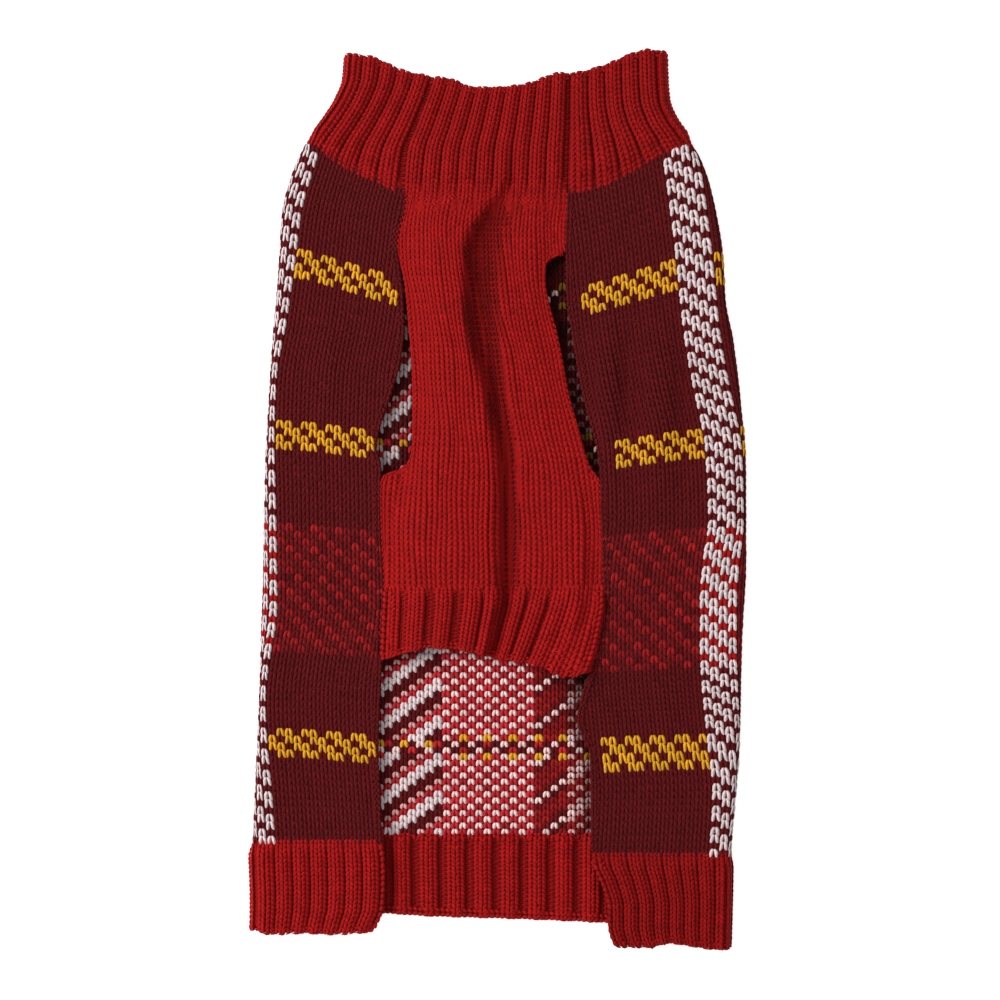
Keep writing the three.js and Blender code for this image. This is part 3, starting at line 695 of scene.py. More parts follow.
class BellyKnit(Knit):
    """The belly panel's plain knitting."""

    height = 0.75
    shade = 0.55  # painted shadow: how much darker the yarn is painted low in the furrow
    shaded = ((-1.35, 0.45), (1.65, 1.0))  # left and right end of that, and how softly it starts
    full_swell = 4.0  # beside which the furrow is as dark as that
    beyond = 4  # columns past the full ones at either side
    rib_rows = 6  # over which the neck's furrows run out in the belly
    rib_depth = 0.7
    # painted shade in the ends of the neck's furrows, at their full depth
    rib_shade = 0.3
    edge_inset = 0.9  # of the chains along the side edges

    def __init__(self, form: Form) -> None:
        """Read the columns' lines."""
        self.form = form
        self.lines = by_side(BELLY_LINES)

    def middle(self, column: Array, row: Array) -> Array:
        """Middle of the cloth at a column and a row."""
        y = mix(READ_BELLY_NECK_LINE, HEM_LINE_BELLY, row / BELLY_ROWS)
        x = mix(self.lines[Side.LEFT](y), self.lines[Side.RIGHT](y), column / BELLY_COLUMNS)
        wobble = 0.25 * np.sin(0.16 * y + 0.9 * column) + 0.2 * np.sin(0.061 * y - 1.7 * column)
        return self.form.on_front(x + wobble, y)

    def build(self, rng: Any) -> Stitches:
        """All the stitches of the belly."""
        span = np.arange(-self.beyond, BELLY_COLUMNS + self.beyond)
        column, row = grid(span, np.arange(-1, BELLY_ROWS))
        y = self.middle(column + 0.5, row + 0.5)[:, 1]
        middle, width = within(column, *(self.edge_column(side, y) for side in Side))
        inside = width > self.least
        row, middle, width = (v[inside] for v in (row, middle, width))
        made = self.stitches(middle, row + 0.5, width, Yarn.RED.number, rng)
        depth = self.relief(middle, row + 0.5) / self.rib_depth
        # painted shadow low in the furrow, and painted shade in the ends of the neck's furrows
        return made.dim(self.furrow_shade(made.middle)).dim(1 + self.rib_shade * depth)

    def relief(self, column: Array, row: Array) -> Array:
        """The ends of the neck's furrows, which run out in the belly."""
        place = self.middle(column, row)
        left, right = (self.form.belly_edge[side](place[..., 1]) for side in Side)
        share = (place[..., 0] - left) / (right - left)
        furrow = 0.5 - 0.5 * np.cos(2 * math.pi * RIBS["neck_belly"].counted(share))
        return -self.rib_depth * furrow * smooth(1 - row / self.rib_rows)

    def furrow_shade(self, place: Array) -> Array:
        """How much darker the yarn is painted low on the furrow's left side: painted shadow of its
        wall.
        """
        x, half, swell = (self.form.furrow[name](place[:, 1]) for name in ("x", "half", "swell"))
        offset = (place[:, 0] - x) / half
        (left, left_soft), (right, right_soft) = self.shaded
        groove = smooth((offset - left) / left_soft) * smooth((right - offset) / right_soft)
        return 1 - self.shade * groove * np.clip(swell / self.full_swell, 0, 1)

    def edge_column(self, side: Side, y: Array) -> Array:
        """The column at which an edge of the panel lies."""
        left, right = (self.lines[each](y) for each in Side)
        return BELLY_COLUMNS * (self.form.belly_edge[side](y) - left) / (right - left)

    def selvedges(self, rng: Any) -> Stitches:
        """A chain of stitches along each side edge."""
        return Stitches.joined([
            Selvedge(side.inward * self.edge_inset, -0.1, SELVEDGE_WIDTH, Yarn.RIB_RED).build(
                self.form, self.form.belly_edge[side], HEM_LINE_BELLY, rng
            ) for side in Side
        ])


class BackKnit(Knit):
    """The back's knitting, seen from the garment's inside or from below."""

    pitch = 3.53  # of a column
    row_pitch = 2.64
    left = -48.5  # x of column 0
    top = 131.0  # y of row 0
    straight = 25.0  # how far out from the middle the rows stay straight
    fold = 95.0  # how far out the side folds are
    band_rows = (16, 40, 88)  # where the yellow bands are
    band_rise = (13.0, 5.0, 4.0)  # how much higher each one lies at the folds
    stripe_period = 17  # columns from one white stripe to the next
    last_row = 106
    covered = 6.0  # how far the inside is knitted in under what lies on it
    belly_cover = (-60.0, 110.0)  # y between which the belly covers the back
    float_size = 0.88  # of a white stitch that is pulled in between red ones
    openings_from = 0.0  # y from which the inside is only seen through the leg openings
    # painted shade of the inside seen through the left and right leg openings
    opening_shade = {"left": 0.62, "right": 0.17}
    edge_shade = (0.3, 9.0)  # painted shade beside the right flank: its tone, and how far it reaches
    corner = (33.0, -74.0)  # where the belly hem's right corner stands over the back
    corner_shade = (0.2, 15.0)  # painted shadow of that corner on the back: its tone, and how far it reaches

    def __init__(self, form: Form) -> None:
        """Keep the form."""
        self.form = form

    def middle(self, column: Array, row: Array) -> Array:
        """Middle of the cloth at a column and a row."""
        wobble = 0.3 * np.sin(0.09 * row + 0.7 * column)
        x = self.left + self.pitch * column + wobble
        out = np.clip((np.abs(x) - self.straight) / (self.fold - self.straight), 0, 1.2)
        rise = np.interp(row, self.band_rows, self.band_rise)
        return points(x, self.top - self.row_pitch * row + rise * out**2, WALL / 2)

    def inside(self, rng: Any) -> Stitches:
        """Stitches of the inside, where the belly and the flanks leave it bare."""
        column, row = grid(np.arange(-2, 28), np.arange(self.last_row))
        x, y, _ = self.middle(column + 0.5, row + 0.5).T
        flank, belly = (
            [edge[side](y) for side in Side] for edge in (self.form.flank_edge, self.form.belly_edge)
        )
        bare = (x > flank[0] - self.covered) & (x < flank[1] + self.covered)
        over = (x > belly[0] + self.covered) & (x < belly[1] - self.covered)
        over &= y > self.belly_cover[0]
        bare &= ~over & (y > HEM_LINE_BACK - 1.8) & (y < self.belly_cover[1])
        column, row, x, y = (v[bare] for v in (column, row, x, y))
        by_hem = y < HEM_LINE_BACK + self.row_pitch / 3
        yarn = np.where(by_hem, Yarn.RIB_RED.number, inside_chart(row, column))
        in_right_opening = (y > self.openings_from) & (x > 0)
        light = np.isin(yarn, [Yarn.FLOAT.number, Yarn.WHITE.number])
        off_line = (row + column) % INSIDE_PERIOD != 0
        # painted shade: in the right opening the white loops off the slanting lines are made burgundy,
        # so the opening stays dark
        yarn[in_right_opening & light & off_line] = Yarn.BURGUNDY.number
        made = self.stitches(column + 0.5, row + 0.5, 1.0, yarn, rng)
        # painted shade of the inside, with painted light on the caught white loops
        made.dim(self.inside_shade(x, y, in_right_opening & (yarn == Yarn.FLOAT.number)))
        floats = (yarn == Yarn.FLOAT.number) & (column >= CHECKER_COLUMNS[0])
        made.along[floats] *= self.float_size
        made.across[floats] *= self.float_size
        return made

    def inside_shade(self, x: Array, y: Array, caught: Array) -> Array:
        """Painted shade of the inside, which lies in the shade of what lies on it.

        Args:
            x: Places across.
            y: Places along.
            caught: True where a white loop catches the light in the right opening, and is painted
                lighter: painted light.

        Returns:
            The tones.
        """
        left, right = self.opening_shade["left"], self.opening_shade["right"]
        opening = np.where((x < 0) | caught, left, right)
        from_edge = (self.form.flank_edge[Side.RIGHT](y) - x) / self.edge_shade[1]
        below = mix(self.edge_shade[0], 1.0, smooth(from_edge))
        shade = np.where(y > self.openings_from, opening, below)
        from_corner = np.hypot(x - self.corner[0], y - self.corner[1]) / self.corner_shade[1]
        return shade * mix(self.corner_shade[0], 1.0, smooth(from_corner))

    def outside(self, rng: Any) -> Stitches:
        """Stitches of the underside, where the plaid goes on."""
        first = -12
        column, row = grid(np.arange(first, 40), np.arange(-8, self.last_row))
        x, y, _ = self.middle(column + 0.5, row + 0.5).T
        left, right = (self.form.back_edge(side, y) + side.inward for side in Side)
        inside = (x > left) & (x < right)
        inside &= (y > HEM_LINE_BACK - 0.3) & (y < self.form.neck_line(x) - 1.2)
        column, row = column[inside], row[inside]
        place = (column - first) % self.stripe_period
        stripe = place >= self.stripe_period - STRIPE_COLUMNS
        yarn = outside_chart(row, -column, stripe)
        return self.stitches(column + 0.5, row + 0.5, -1.0, yarn, rng)


@dataclass(frozen=True)
class RibLayout:
    """Where the ribs of one piece stand, as shares of its width."""

    first: float
    pitch: float
    count: int
    before: int = 0  # ribs round the fold
    ridge: float = RIB_HALF  # half a rib's two columns, to the pitch
    uneven: tuple[float, ...] = ()  # the ribs' middles, where they don't stand evenly

    @property
    def centres(self) -> Array:
        """Shares of the ribs' middles."""
        even = self.first + self.pitch * np.arange(-self.before, self.count)
        return np.array(self.uneven) if self.uneven else even

    @property
    def half(self) -> float:
        """Half the width of a rib's two columns."""
        return self.ridge * self.pitch

    def counted(self, share: Array) -> Array:
        """A share of the width as a number of ribs from the first."""
        return (share - self.first) / self.pitch


RIBS = {
    "neck_left": RibLayout(0.0, 0.205, 5, 3),
    "neck_right": RibLayout(0.1, 0.2, 5, 3),
    "neck_belly": RibLayout(0.035, 0.11, 9),
    "hem_left": RibLayout(0.045, 0.143, 7, 3),
    "hem_right": RibLayout(0.0, 0.135, 8, 3),
    "hem_back": RibLayout(0.0394, 0.0628, 16, ridge=0.3),
    "neck_back": RibLayout(0.03, 0.062, 16),
    "belly_hem": RibLayout(
        0.04, 0.1, 10, ridge=0.36,
        uneven=(0.04, 0.15, 0.275, 0.405, 0.5, 0.61, 0.71, 0.81, 0.89, 0.965),
    ),
}
# painted shade: the same rib yarn is painted darker on some pieces
RIB_TONE = {"neck_left": 0.9, "neck_right": 0.83, "hem_left": 0.98, "hem_right": 0.78}
BELLY_HEM_SLANT = 7.0
CLOSE_SEAM = 0.003  # share of its width by which a back rib reaches on at each end
NECK_ROWS = 22
HEM_ROWS = 19
BELLY_HEM_ROWS = 15


@dataclass
class RibKnit(Knit):
    """Two by two rib: pairs of knit columns stand up between furrows of purl."""

    layout: RibLayout
    place: Place  # a point of the middle of the cloth at a share of the width and a y
    low: Line  # y of the lower edge at a share
    high: Line  # y of the upper edge
    rows: int
    free_below: bool = True
    facing: int = 1
    run_on: int = 1  # rows of the ribs that go on past the seam
    rib_rise: float = 1.4
    rib_fade: float = 3.5  # rows over which the ribs rise out of the plain knitting
    scallop: float = 0.7  # how far the ribs reach past the furrows at the free edge
    # painted shade of the whole rib, as a share of its yarn's tone
    shade: float = 1.0
    purl_columns: int = 1
    edge_row: float = 0.3  # of the chain of the cast-off, from the edge
    edge_width: float = EDGE_WIDTH
    edge_lift: float = 0.3

    sink = 0.1  # of each row that runs on, into the plain knitting
    knit_width = 1.14  # of a stitch, to its column
    purl_shade = 0.6  # the furrows lie in the ribs' shadow
    purl_rise = 1.4  # to that of a knit stitch
    side_width = 4.2  # of the chain along a side edge
    slope = 0.45  # share of a rib's half that slopes down to the furrow
    foot = 0.12  # how far the slope reaches into the furrow

    def middle(self, column: Array, row: Array) -> Array:
        """Middle of the cloth: a column is a share of the width here."""
        y = mix(self.high(column), self.low(column), row / self.rows)
        to_free = self.rows - row if self.free_below else row
        reach = self.scallop * (self.rib_shape(column) - 0.5) * smooth(1 - to_free / self.rib_fade)
        return self.place(column, y - reach if self.free_below else y + reach)

    def rib_shape(self, column: Array) -> Array:
        """1 on a rib and 0 in a furrow."""
        distance = np.min(np.abs(column[..., None] - self.layout.centres), axis=-1)
        past_top = distance / self.layout.half - 1 + self.slope
        return 1 - smooth(past_top / (self.slope + self.foot))

    def relief(self, column: Array, row: Array) -> Array:
        """Height of the ribs."""
        from_body = row if self.free_below else self.rows - row
        risen = mix(0.1, self.rib_shape(column), smooth((from_body + 0.5) / self.rib_fade))
        return self.rib_rise * risen + self.sink * np.minimum(from_body, 0)

    def knits(self, rng: Any, first: float, last: float) -> Stitches:
        """The knit columns, two on each rib, between two shares of the width."""
        half = self.layout.half
        span = (self.layout.centres[:, None] + np.array([-0.5, 0.5]) * half).ravel()
        span = span[(span > first) & (span < last)]
        reach = self.rows + self.run_on
        rows = np.arange(-self.run_on, self.rows) if self.free_below else np.arange(reach)
        column, row = grid(span, rows)
        wide = self.knit_width * half * self.facing
        return self.stitches(column, row + 0.5, wide, Yarn.RIB_RED.number, rng).dim(self.shade)

    def purls(self, rng: Any, first: float, last: float) -> Stitches:
        """The purl bumps in the furrows, between two shares of the width."""
        half = self.layout.half
        ends = np.concatenate([[first - half], np.sort(self.layout.centres), [last + half]])
        left = np.maximum(ends[:-1] + half, first)
        right = np.minimum(ends[1:] - half, last)
        wide = right - left > 0.15 * half
        left, right = left[wide], right[wide]
        each = (right - left) / self.purl_columns
        middle = (left + each * (np.arange(self.purl_columns)[:, None] + 0.5)).ravel()
        late = np.repeat(0.5 * np.arange(self.purl_columns), len(left))
        row = (np.arange(self.rows)[:, None] + late).ravel()
        width = np.tile(each, self.purl_columns * self.rows) * self.facing
        middle = np.tile(middle, self.rows)
        made = self.stitches(middle, row + 0.5, width, Yarn.RIB_RED.number, rng)
        made.rise *= self.purl_rise
        return made.dim(self.shade * self.purl_shade)

    def cast_off(self, rng: Any, first: float, last: float) -> Stitches:
        """A chain along the free edge, between two shares of the width."""
        row = self.rows - self.edge_row if self.free_below else self.edge_row
        share = np.linspace(first, last, 200)
        return self.edging(share, np.full(share.shape, row), self.edge_width, rng)

    def side_edge(self, rng: Any, share: float) -> Stitches:
        """A chain along a free side edge."""
        row = np.linspace(0.3, self.rows - 0.3, 60)
        return self.edging(np.full(row.shape, share), row, self.side_width, rng)

    def edging(self, share: Array, row: Array, width: float, rng: Any) -> Stitches:
        """A chain along a line on the rib."""
        across = self.middle(share + 0.01, row) - self.middle(share - 0.01, row)
        along = self.middle(share, row - 0.5) - self.middle(share, row + 0.5)
        normal = unit(np.cross(across, along)) * self.facing
        path = even_path(np.concatenate([self.surface(share, row), normal], axis=1), EDGE_LINK)
        up = unit((path[1:, 3:] + path[:-1, 3:]) / 2)
        raised = path[:, :3] + path[:, 3:] * self.edge_lift
        return chain(raised, up, width, Yarn.RIB_RED, rng).dim(self.shade)


def store(mesh: bpy.types.Mesh, name: str, kind: str, values: Array) -> None:
    """Store a value for each vertex under a name."""
    field = {"FLOAT": "value", "FLOAT_VECTOR": "vector", "FLOAT_COLOR": "color"}[kind]
    mesh.attributes.new(name, kind, "POINT").data.foreach_set(field, values.ravel())


def linked(name: str, data: Any) -> bpy.types.Object:
    """A new object in the scene."""
    made = bpy.data.objects.new(name, data)
    bpy.context.scene.collection.objects.link(made)
    return made


@dataclass(frozen=True)
class YarnShape:
    """Low tubes of yarn that make one stitch, in shares of its width, row and height."""

    name: str
    tubes: tuple  # for each, rings of x, y, z, half width and half height
    sides: int = 4

    def build(self) -> bpy.types.Object:
        """A hidden object with the stitch, to be set many times over."""
        places: list[tuple] = []
        faces: list[list[int]] = []
        along: list[float] = []
        for rings in self.tubes:
            self.tube(rings, places, faces, along)
        mesh = bpy.data.meshes.new(self.name)
        mesh.from_pydata(places, [], faces)
        coords = np.array(places)
        store(mesh, "local", "FLOAT_VECTOR", coords)
        # crown: how high each point stands on the stitch, which the yarn finish turns into painted
        # shade low on it
        store(mesh, "crown", "FLOAT", np.clip(coords[:, 2], 0, 1))
        uv = mesh.uv_layers.new(name="UVMap")
        corners = np.empty(len(mesh.loops), int)
        mesh.loops.foreach_get("vertex_index", corners)
        pair = np.stack([coords[corners, 0], np.array(along)[corners]], axis=1)
        uv.data.foreach_set("uv", pair.ravel())
        mesh.shade_smooth()
        made = linked(self.name, mesh)
        made.hide_render = True
        return made

    def tube(self, rings: tuple, places: list, faces: list, along: list) -> None:
        """Add one closed tube that ends in a point at both ends."""
        start = len(places)
        heading = unit(np.gradient(np.array([ring[:2] for ring in rings]), axis=0))
        last = len(rings) - 1
        for index, (x, y, z, wide, high) in enumerate(rings):
            turns = range(1 if index in (0, last) else self.sides)
            for angle in (2 * math.pi * corner / self.sides for corner in turns):
                out = wide * math.cos(angle)
                side_x, side_y = heading[index, 1] * out, heading[index, 0] * out
                places.append((x + side_x, y - side_y, z + high * math.sin(angle)))
                along.append(index / last)
        end = len(places) - 1
        ring_start = [start + 1 + ring * self.sides for ring in range(last - 1)]
        for corner in range(self.sides):
            after = (corner + 1) % self.sides
            faces.append([start, ring_start[0] + after, ring_start[0] + corner])
            faces.append([end, ring_start[-1] + corner, ring_start[-1] + after])
            for upper, lower in zip(ring_start, ring_start[1:]):
                faces.append([upper + corner, upper + after, lower + after, lower + corner])


LEG = (
    (0.05, 0.58, 0.10, 0.0, 0.0),
    (0.14, 0.46, 0.44, 0.17, 0.30),
    (0.24, 0.14, 0.56, 0.26, 0.40),
    (0.285, -0.24, 0.44, 0.245, 0.40),
    (0.33, -0.58, 0.12, 0.17, 0.34),
    (0.38, -0.90, -0.25, 0.0, 0.0),
)
OPEN_LEG = (  # of a stitch that stands out from the ground, with the ground between its legs
    (0.04, 0.56, 0.10, 0.0, 0.0),
    (0.125, 0.46, 0.50, 0.15, 0.30),
    (0.24, 0.16, 0.60, 0.20, 0.40),
    (0.29, -0.24, 0.50, 0.19, 0.40),
    (0.33, -0.56, 0.16, 0.14, 0.34),
    (0.37, -0.86, -0.25, 0.0, 0.0),
)
LOW_LEG = (LEG[0], LEG[2], LEG[3], LEG[5])
BUMP = (
    (-0.56, -0.16, -0.2, 0.0, 0.0),
    (-0.34, -0.02, 0.30, 0.28, 0.34),
    (0.0, 0.10, 0.48, 0.34, 0.40),
    (0.34, -0.02, 0.30, 0.28, 0.34),
    (0.56, -0.16, -0.2, 0.0, 0.0),
)


def pair_of(rings: tuple) -> tuple:
    """A tube and its mirror image on the stitch's other side."""
    return rings, tuple((-x, *rest) for x, *rest in rings)


class Stitch(Enum):
    """The stitches that are set."""

    KNIT = YarnShape("stitch_knit", pair_of(LEG))
    OPEN = YarnShape("stitch_open", pair_of(OPEN_LEG))
    FLAT = YarnShape("stitch_flat", pair_of(LOW_LEG))
    PURL = YarnShape("stitch_purl", (BUMP,))


class Wire:
    """A shader socket that takes part in sums: an expression adds its Math nodes."""

    def __init__(self, sheet: "ShaderSheet", socket: bpy.types.NodeSocket) -> None:
        """Keep the socket and the sheet that its nodes go on."""
        self.sheet = sheet
        self.socket = socket

    def join(self, operation: str, *values: Any) -> "Wire":
        """The result of a Math node."""
        return self.sheet.node("ShaderNodeMath", {"operation": operation}, *values)

    def __add__(self, other: Any) -> "Wire":
        """Sum."""
        return self.join("ADD", self, other)

    def __mul__(self, other: Any) -> "Wire":
        """Product."""
        return self.join("MULTIPLY", self, other)

    __radd__ = __add__
    __rmul__ = __mul__

    def sine(self) -> "Wire":
        """Sine of an angle in radians."""
        return self.join("SINE", self)

    def absolute(self) -> "Wire":
        """Size without its sign."""
        return self.join("ABSOLUTE", self)


class ShaderSheet:
    """A material's nodes."""

    def __init__(self, name: str, roughness: float = 0.9) -> None:
        """Start a material that has only its matt shader."""
        self.material = bpy.data.materials.new(name)
        self.material.use_nodes = True
        self.tree = self.material.node_tree
        self.shader = self.tree.nodes["Principled BSDF"]
        self.set("Roughness", roughness)

    def set(self, name: str, value: Any) -> None:
        """Give one of the shader's sockets a value."""
        self.shader.inputs[name].default_value = value

    def node(self, kind: str, settings: dict[str, Any], *values: Any, output: Any = 0) -> Wire:
        """Add a node.

        Args:
            kind: The node's type.
            settings: Properties, set before the sockets.
            values: Numbers, colours or wires for the sockets in order; None leaves one alone.
            output: Name or place of the socket to give back.

        Returns:
            A wire from that output.
        """
        made = self.tree.nodes.new(kind)
        for name, value in settings.items():
            setattr(made, name, value)
        for socket, value in zip([s for s in made.inputs if s.enabled], values):
            if isinstance(value, Wire):
                self.tree.links.new(value.socket, socket)
            elif value is not None:
                socket.default_value = value
        shown = [s for s in made.outputs if s.enabled] if isinstance(output, int) else made.outputs
        return Wire(self, shown[output])

    def place(self) -> Wire:
        """The place on the object."""
        return self.node("ShaderNodeTexCoord", {}, output="Object")

    def split(self, vector: Wire) -> tuple[Wire, Wire]:
        """The first two numbers of a vector."""
        first = self.node("ShaderNodeSeparateXYZ", {}, vector, output="X")
        return first, Wire(self, first.socket.node.outputs["Y"])

    def noise(self, place: Wire, scale: float, detail: float, roughness: float) -> Wire:
        """Noise between 0 and 1."""
        return self.node("ShaderNodeTexNoise", {}, place, scale, detail, roughness)

    def finish(self, colour: Wire, shade: Wire, strength: float, depth: float, height: Wire,
               shine: float) -> bpy.types.Material:
        """Feed the shader.

        Args:
            colour: Colour of the yarn.
            shade: What it is multiplied by.
            strength: Strength of the bump.
            depth: Its depth in metres.
            height: What it follows.
            shine: Specular level.

        Returns:
            The material.
        """
        shaded = self.node("ShaderNodeVectorMath", {"operation": "SCALE"}, colour, shade)
        bump = self.node("ShaderNodeBump", {}, strength, depth, None, height)
        for name, wire in (("Base Color", shaded), ("Normal", bump)):
            self.tree.links.new(wire.socket, self.shader.inputs[name])
        self.set("Specular IOR Level", shine)
        return self.material


def yarn_finish(name: str) -> bpy.types.Material:
    """Spun acrylic yarn, matt and slightly fuzzy, coloured by each stitch's own tint, with painted
    shade low on each stitch and between its plies.
    """
    sheet = ShaderSheet(name)
    tint = sheet.node("ShaderNodeAttribute", {"attribute_name": "tint"}, output="Color")
    crown = sheet.node("ShaderNodeAttribute", {"attribute_name": "crown"}, output="Fac")
    place = sheet.place()
    fibre = sheet.noise(place, 1500.0, 3.0, 0.6)
    mottle = sheet.noise(place, 420.0, 2.0, 0.5)
    across, length = sheet.split(sheet.node("ShaderNodeUVMap", {"uv_map": "UVMap"}))
    ply = (across * 9.0 + length * 16.0).sine()
    # painted shade: darker low on each stitch (crown) and faintly between the twisted plies (ply);
    # fibre and mottle are the yarn's own uneven tone
    shade = (0.84 + 0.14 * crown) * (0.68 + 0.36 * fibre + 0.32 * mottle) + 0.05 * ply
    return sheet.finish(tint, shade, 0.3, 0.00025, 0.5 * ply + 0.9 * fibre, 0.12)


def base_finish(name: str, colour: tuple[float, float, float]) -> bpy.types.Material:
    """The cloth behind the stitches: the same yarn in shadow, with the knit's grain, and painted shade
    between its columns.
    """
    column, row = 0.0034, 0.0026  # of the grain, in metres
    sheet = ShaderSheet(name, 0.92)
    place = sheet.place()
    x, y = sheet.split(place)
    across = (x * (math.pi / column)).sine().absolute()
    slant = (y * (2 * math.pi / row) + across * 1.5).sine()
    noise = sheet.noise(place, 700.0, 3.0, 0.6)
    # painted shade between the knit's columns (across), with the grain's slant and the yarn's uneven
    # tone
    shade = (0.8 + 0.2 * across) * (0.85 + 0.3 * noise) + 0.05 * slant
    rgb = sheet.node("ShaderNodeRGB", {})
    rgb.socket.default_value = (*colour, 1.0)
    return sheet.finish(rgb, shade, 0.6, 0.0006, across + 0.4 * slant + 0.5 * noise, 0.1)


class StitchTree:
    """The node tree that sets one stitch at each point of a bare mesh."""

    sockets = {"Geometry": "Geometry", "Stitch": "Object", "Yarn": "Material",
               "Unevenness": "Float", "Seed": "Int"}

    def __init__(self) -> None:
        """Build the tree with its named inputs."""
        self.tree = bpy.data.node_groups.new("set_stitches", "GeometryNodeTree")
        face = self.tree.interface
        self.inputs = {
            name: face.new_socket(name, in_out="INPUT", socket_type="NodeSocket" + kind).identifier
            for name, kind in self.sockets.items()
        }
        face.new_socket("Geometry", in_out="OUTPUT", socket_type="NodeSocketGeometry")
        given = self.tree.nodes.new("NodeGroupInput").outputs
        result = self.tree.nodes.new("NodeGroupOutput")
        cloud = self.add("GeometryNodeMeshToPoints", {}, {"Mesh": given["Geometry"]})
        kept = self.add(
            "GeometryNodeStoreNamedAttribute",
            {"data_type": "FLOAT_VECTOR", "domain": "POINT"},
            {"Geometry": cloud, "Name": "jitter", "Value": self.jitter(given)},
        )
        shape = self.add("GeometryNodeObjectInfo", {}, {"Object": given["Stitch"]}, "Geometry")
        copies = self.add("GeometryNodeInstanceOnPoints", {}, {"Points": kept, "Instance": shape})
        real = self.add("GeometryNodeRealizeInstances", {}, {"Geometry": copies})
        placed = self.add(
            "GeometryNodeSetPosition", {}, {"Geometry": real, "Position": self.position()}
        )
        dressed = self.add(
            "GeometryNodeSetMaterial", {}, {"Geometry": placed, "Material": given["Yarn"]}
        )
        self.tree.links.new(dressed, result.inputs[0])

    def add(self, kind: str, settings: dict[str, Any], sockets: dict[str, Any],
            output: str = "") -> Any:
        """Add a node.

        Args:
            kind: The node's type.
            settings: Properties, set before the sockets.
            sockets: What its sockets hold or take, by name.
            output: Name of the socket to give back, or the first.

        Returns:
            That output.
        """
        made = self.tree.nodes.new(kind)
        for name, value in settings.items():
            setattr(made, name, value)
        for name, value in sockets.items():
            socket = next(s for s in made.inputs if s.name == name and s.enabled)
            if isinstance(value, bpy.types.NodeSocket):
                self.tree.links.new(value, socket)
            else:
                socket.default_value = value
        return next(s for s in made.outputs if s.enabled and output in (s.name, ""))

    def named(self, name: str) -> Any:
        """A vector that is stored under a name."""
        kind = {"data_type": "FLOAT_VECTOR"}
        return self.add("GeometryNodeInputNamedAttribute", kind, {"Name": name}, "Attribute")

    def sums(self, kind: str, operation: str, first: Any, second: Any) -> Any:
        """The result of a Math or Vector Math node on two sockets."""
        made = self.tree.nodes.new(kind)
        made.operation = operation
        self.tree.links.new(first, made.inputs[0])
        self.tree.links.new(second, made.inputs["Scale" if operation == "SCALE" else 1])
        return made.outputs[0]

    def vector(self, operation: str, first: Any, second: Any) -> Any:
        """The result of a Vector Math node."""
        return self.sums("ShaderNodeVectorMath", operation, first, second)

    def jitter(self, given: Any) -> Any:
        """A small random vector for each stitch."""
        chance = self.add(
            "FunctionNodeRandomValue", {"data_type": "FLOAT_VECTOR"},
            {"Min": (-1, -1, -1), "Max": (1, 1, 1), "Seed": given["Seed"]}, "Value",
        )
        return self.vector("SCALE", chance, given["Unevenness"])

    def position(self) -> Any:
        """Where a point of a stitch goes: its shares of the stitch's three directions."""
        local, jitter = (
            self.add("ShaderNodeSeparateXYZ", {}, {"Vector": self.named(name)}).node.outputs
            for name in ("local", "jitter")
        )
        total = self.named("middle")
        for name, axis, turned, chance in (
            ("across", "X", "Y", "X"), ("along", "Y", "X", "Y"), ("rise", "Z", "Z", "Z"),
        ):
            lean = self.sums("ShaderNodeMath", "MULTIPLY", local[turned], jitter[chance])
            share = self.sums("ShaderNodeMath", "ADD", local[axis], lean)
            total = self.vector("ADD", total, self.vector("SCALE", self.named(name), share))
        return total


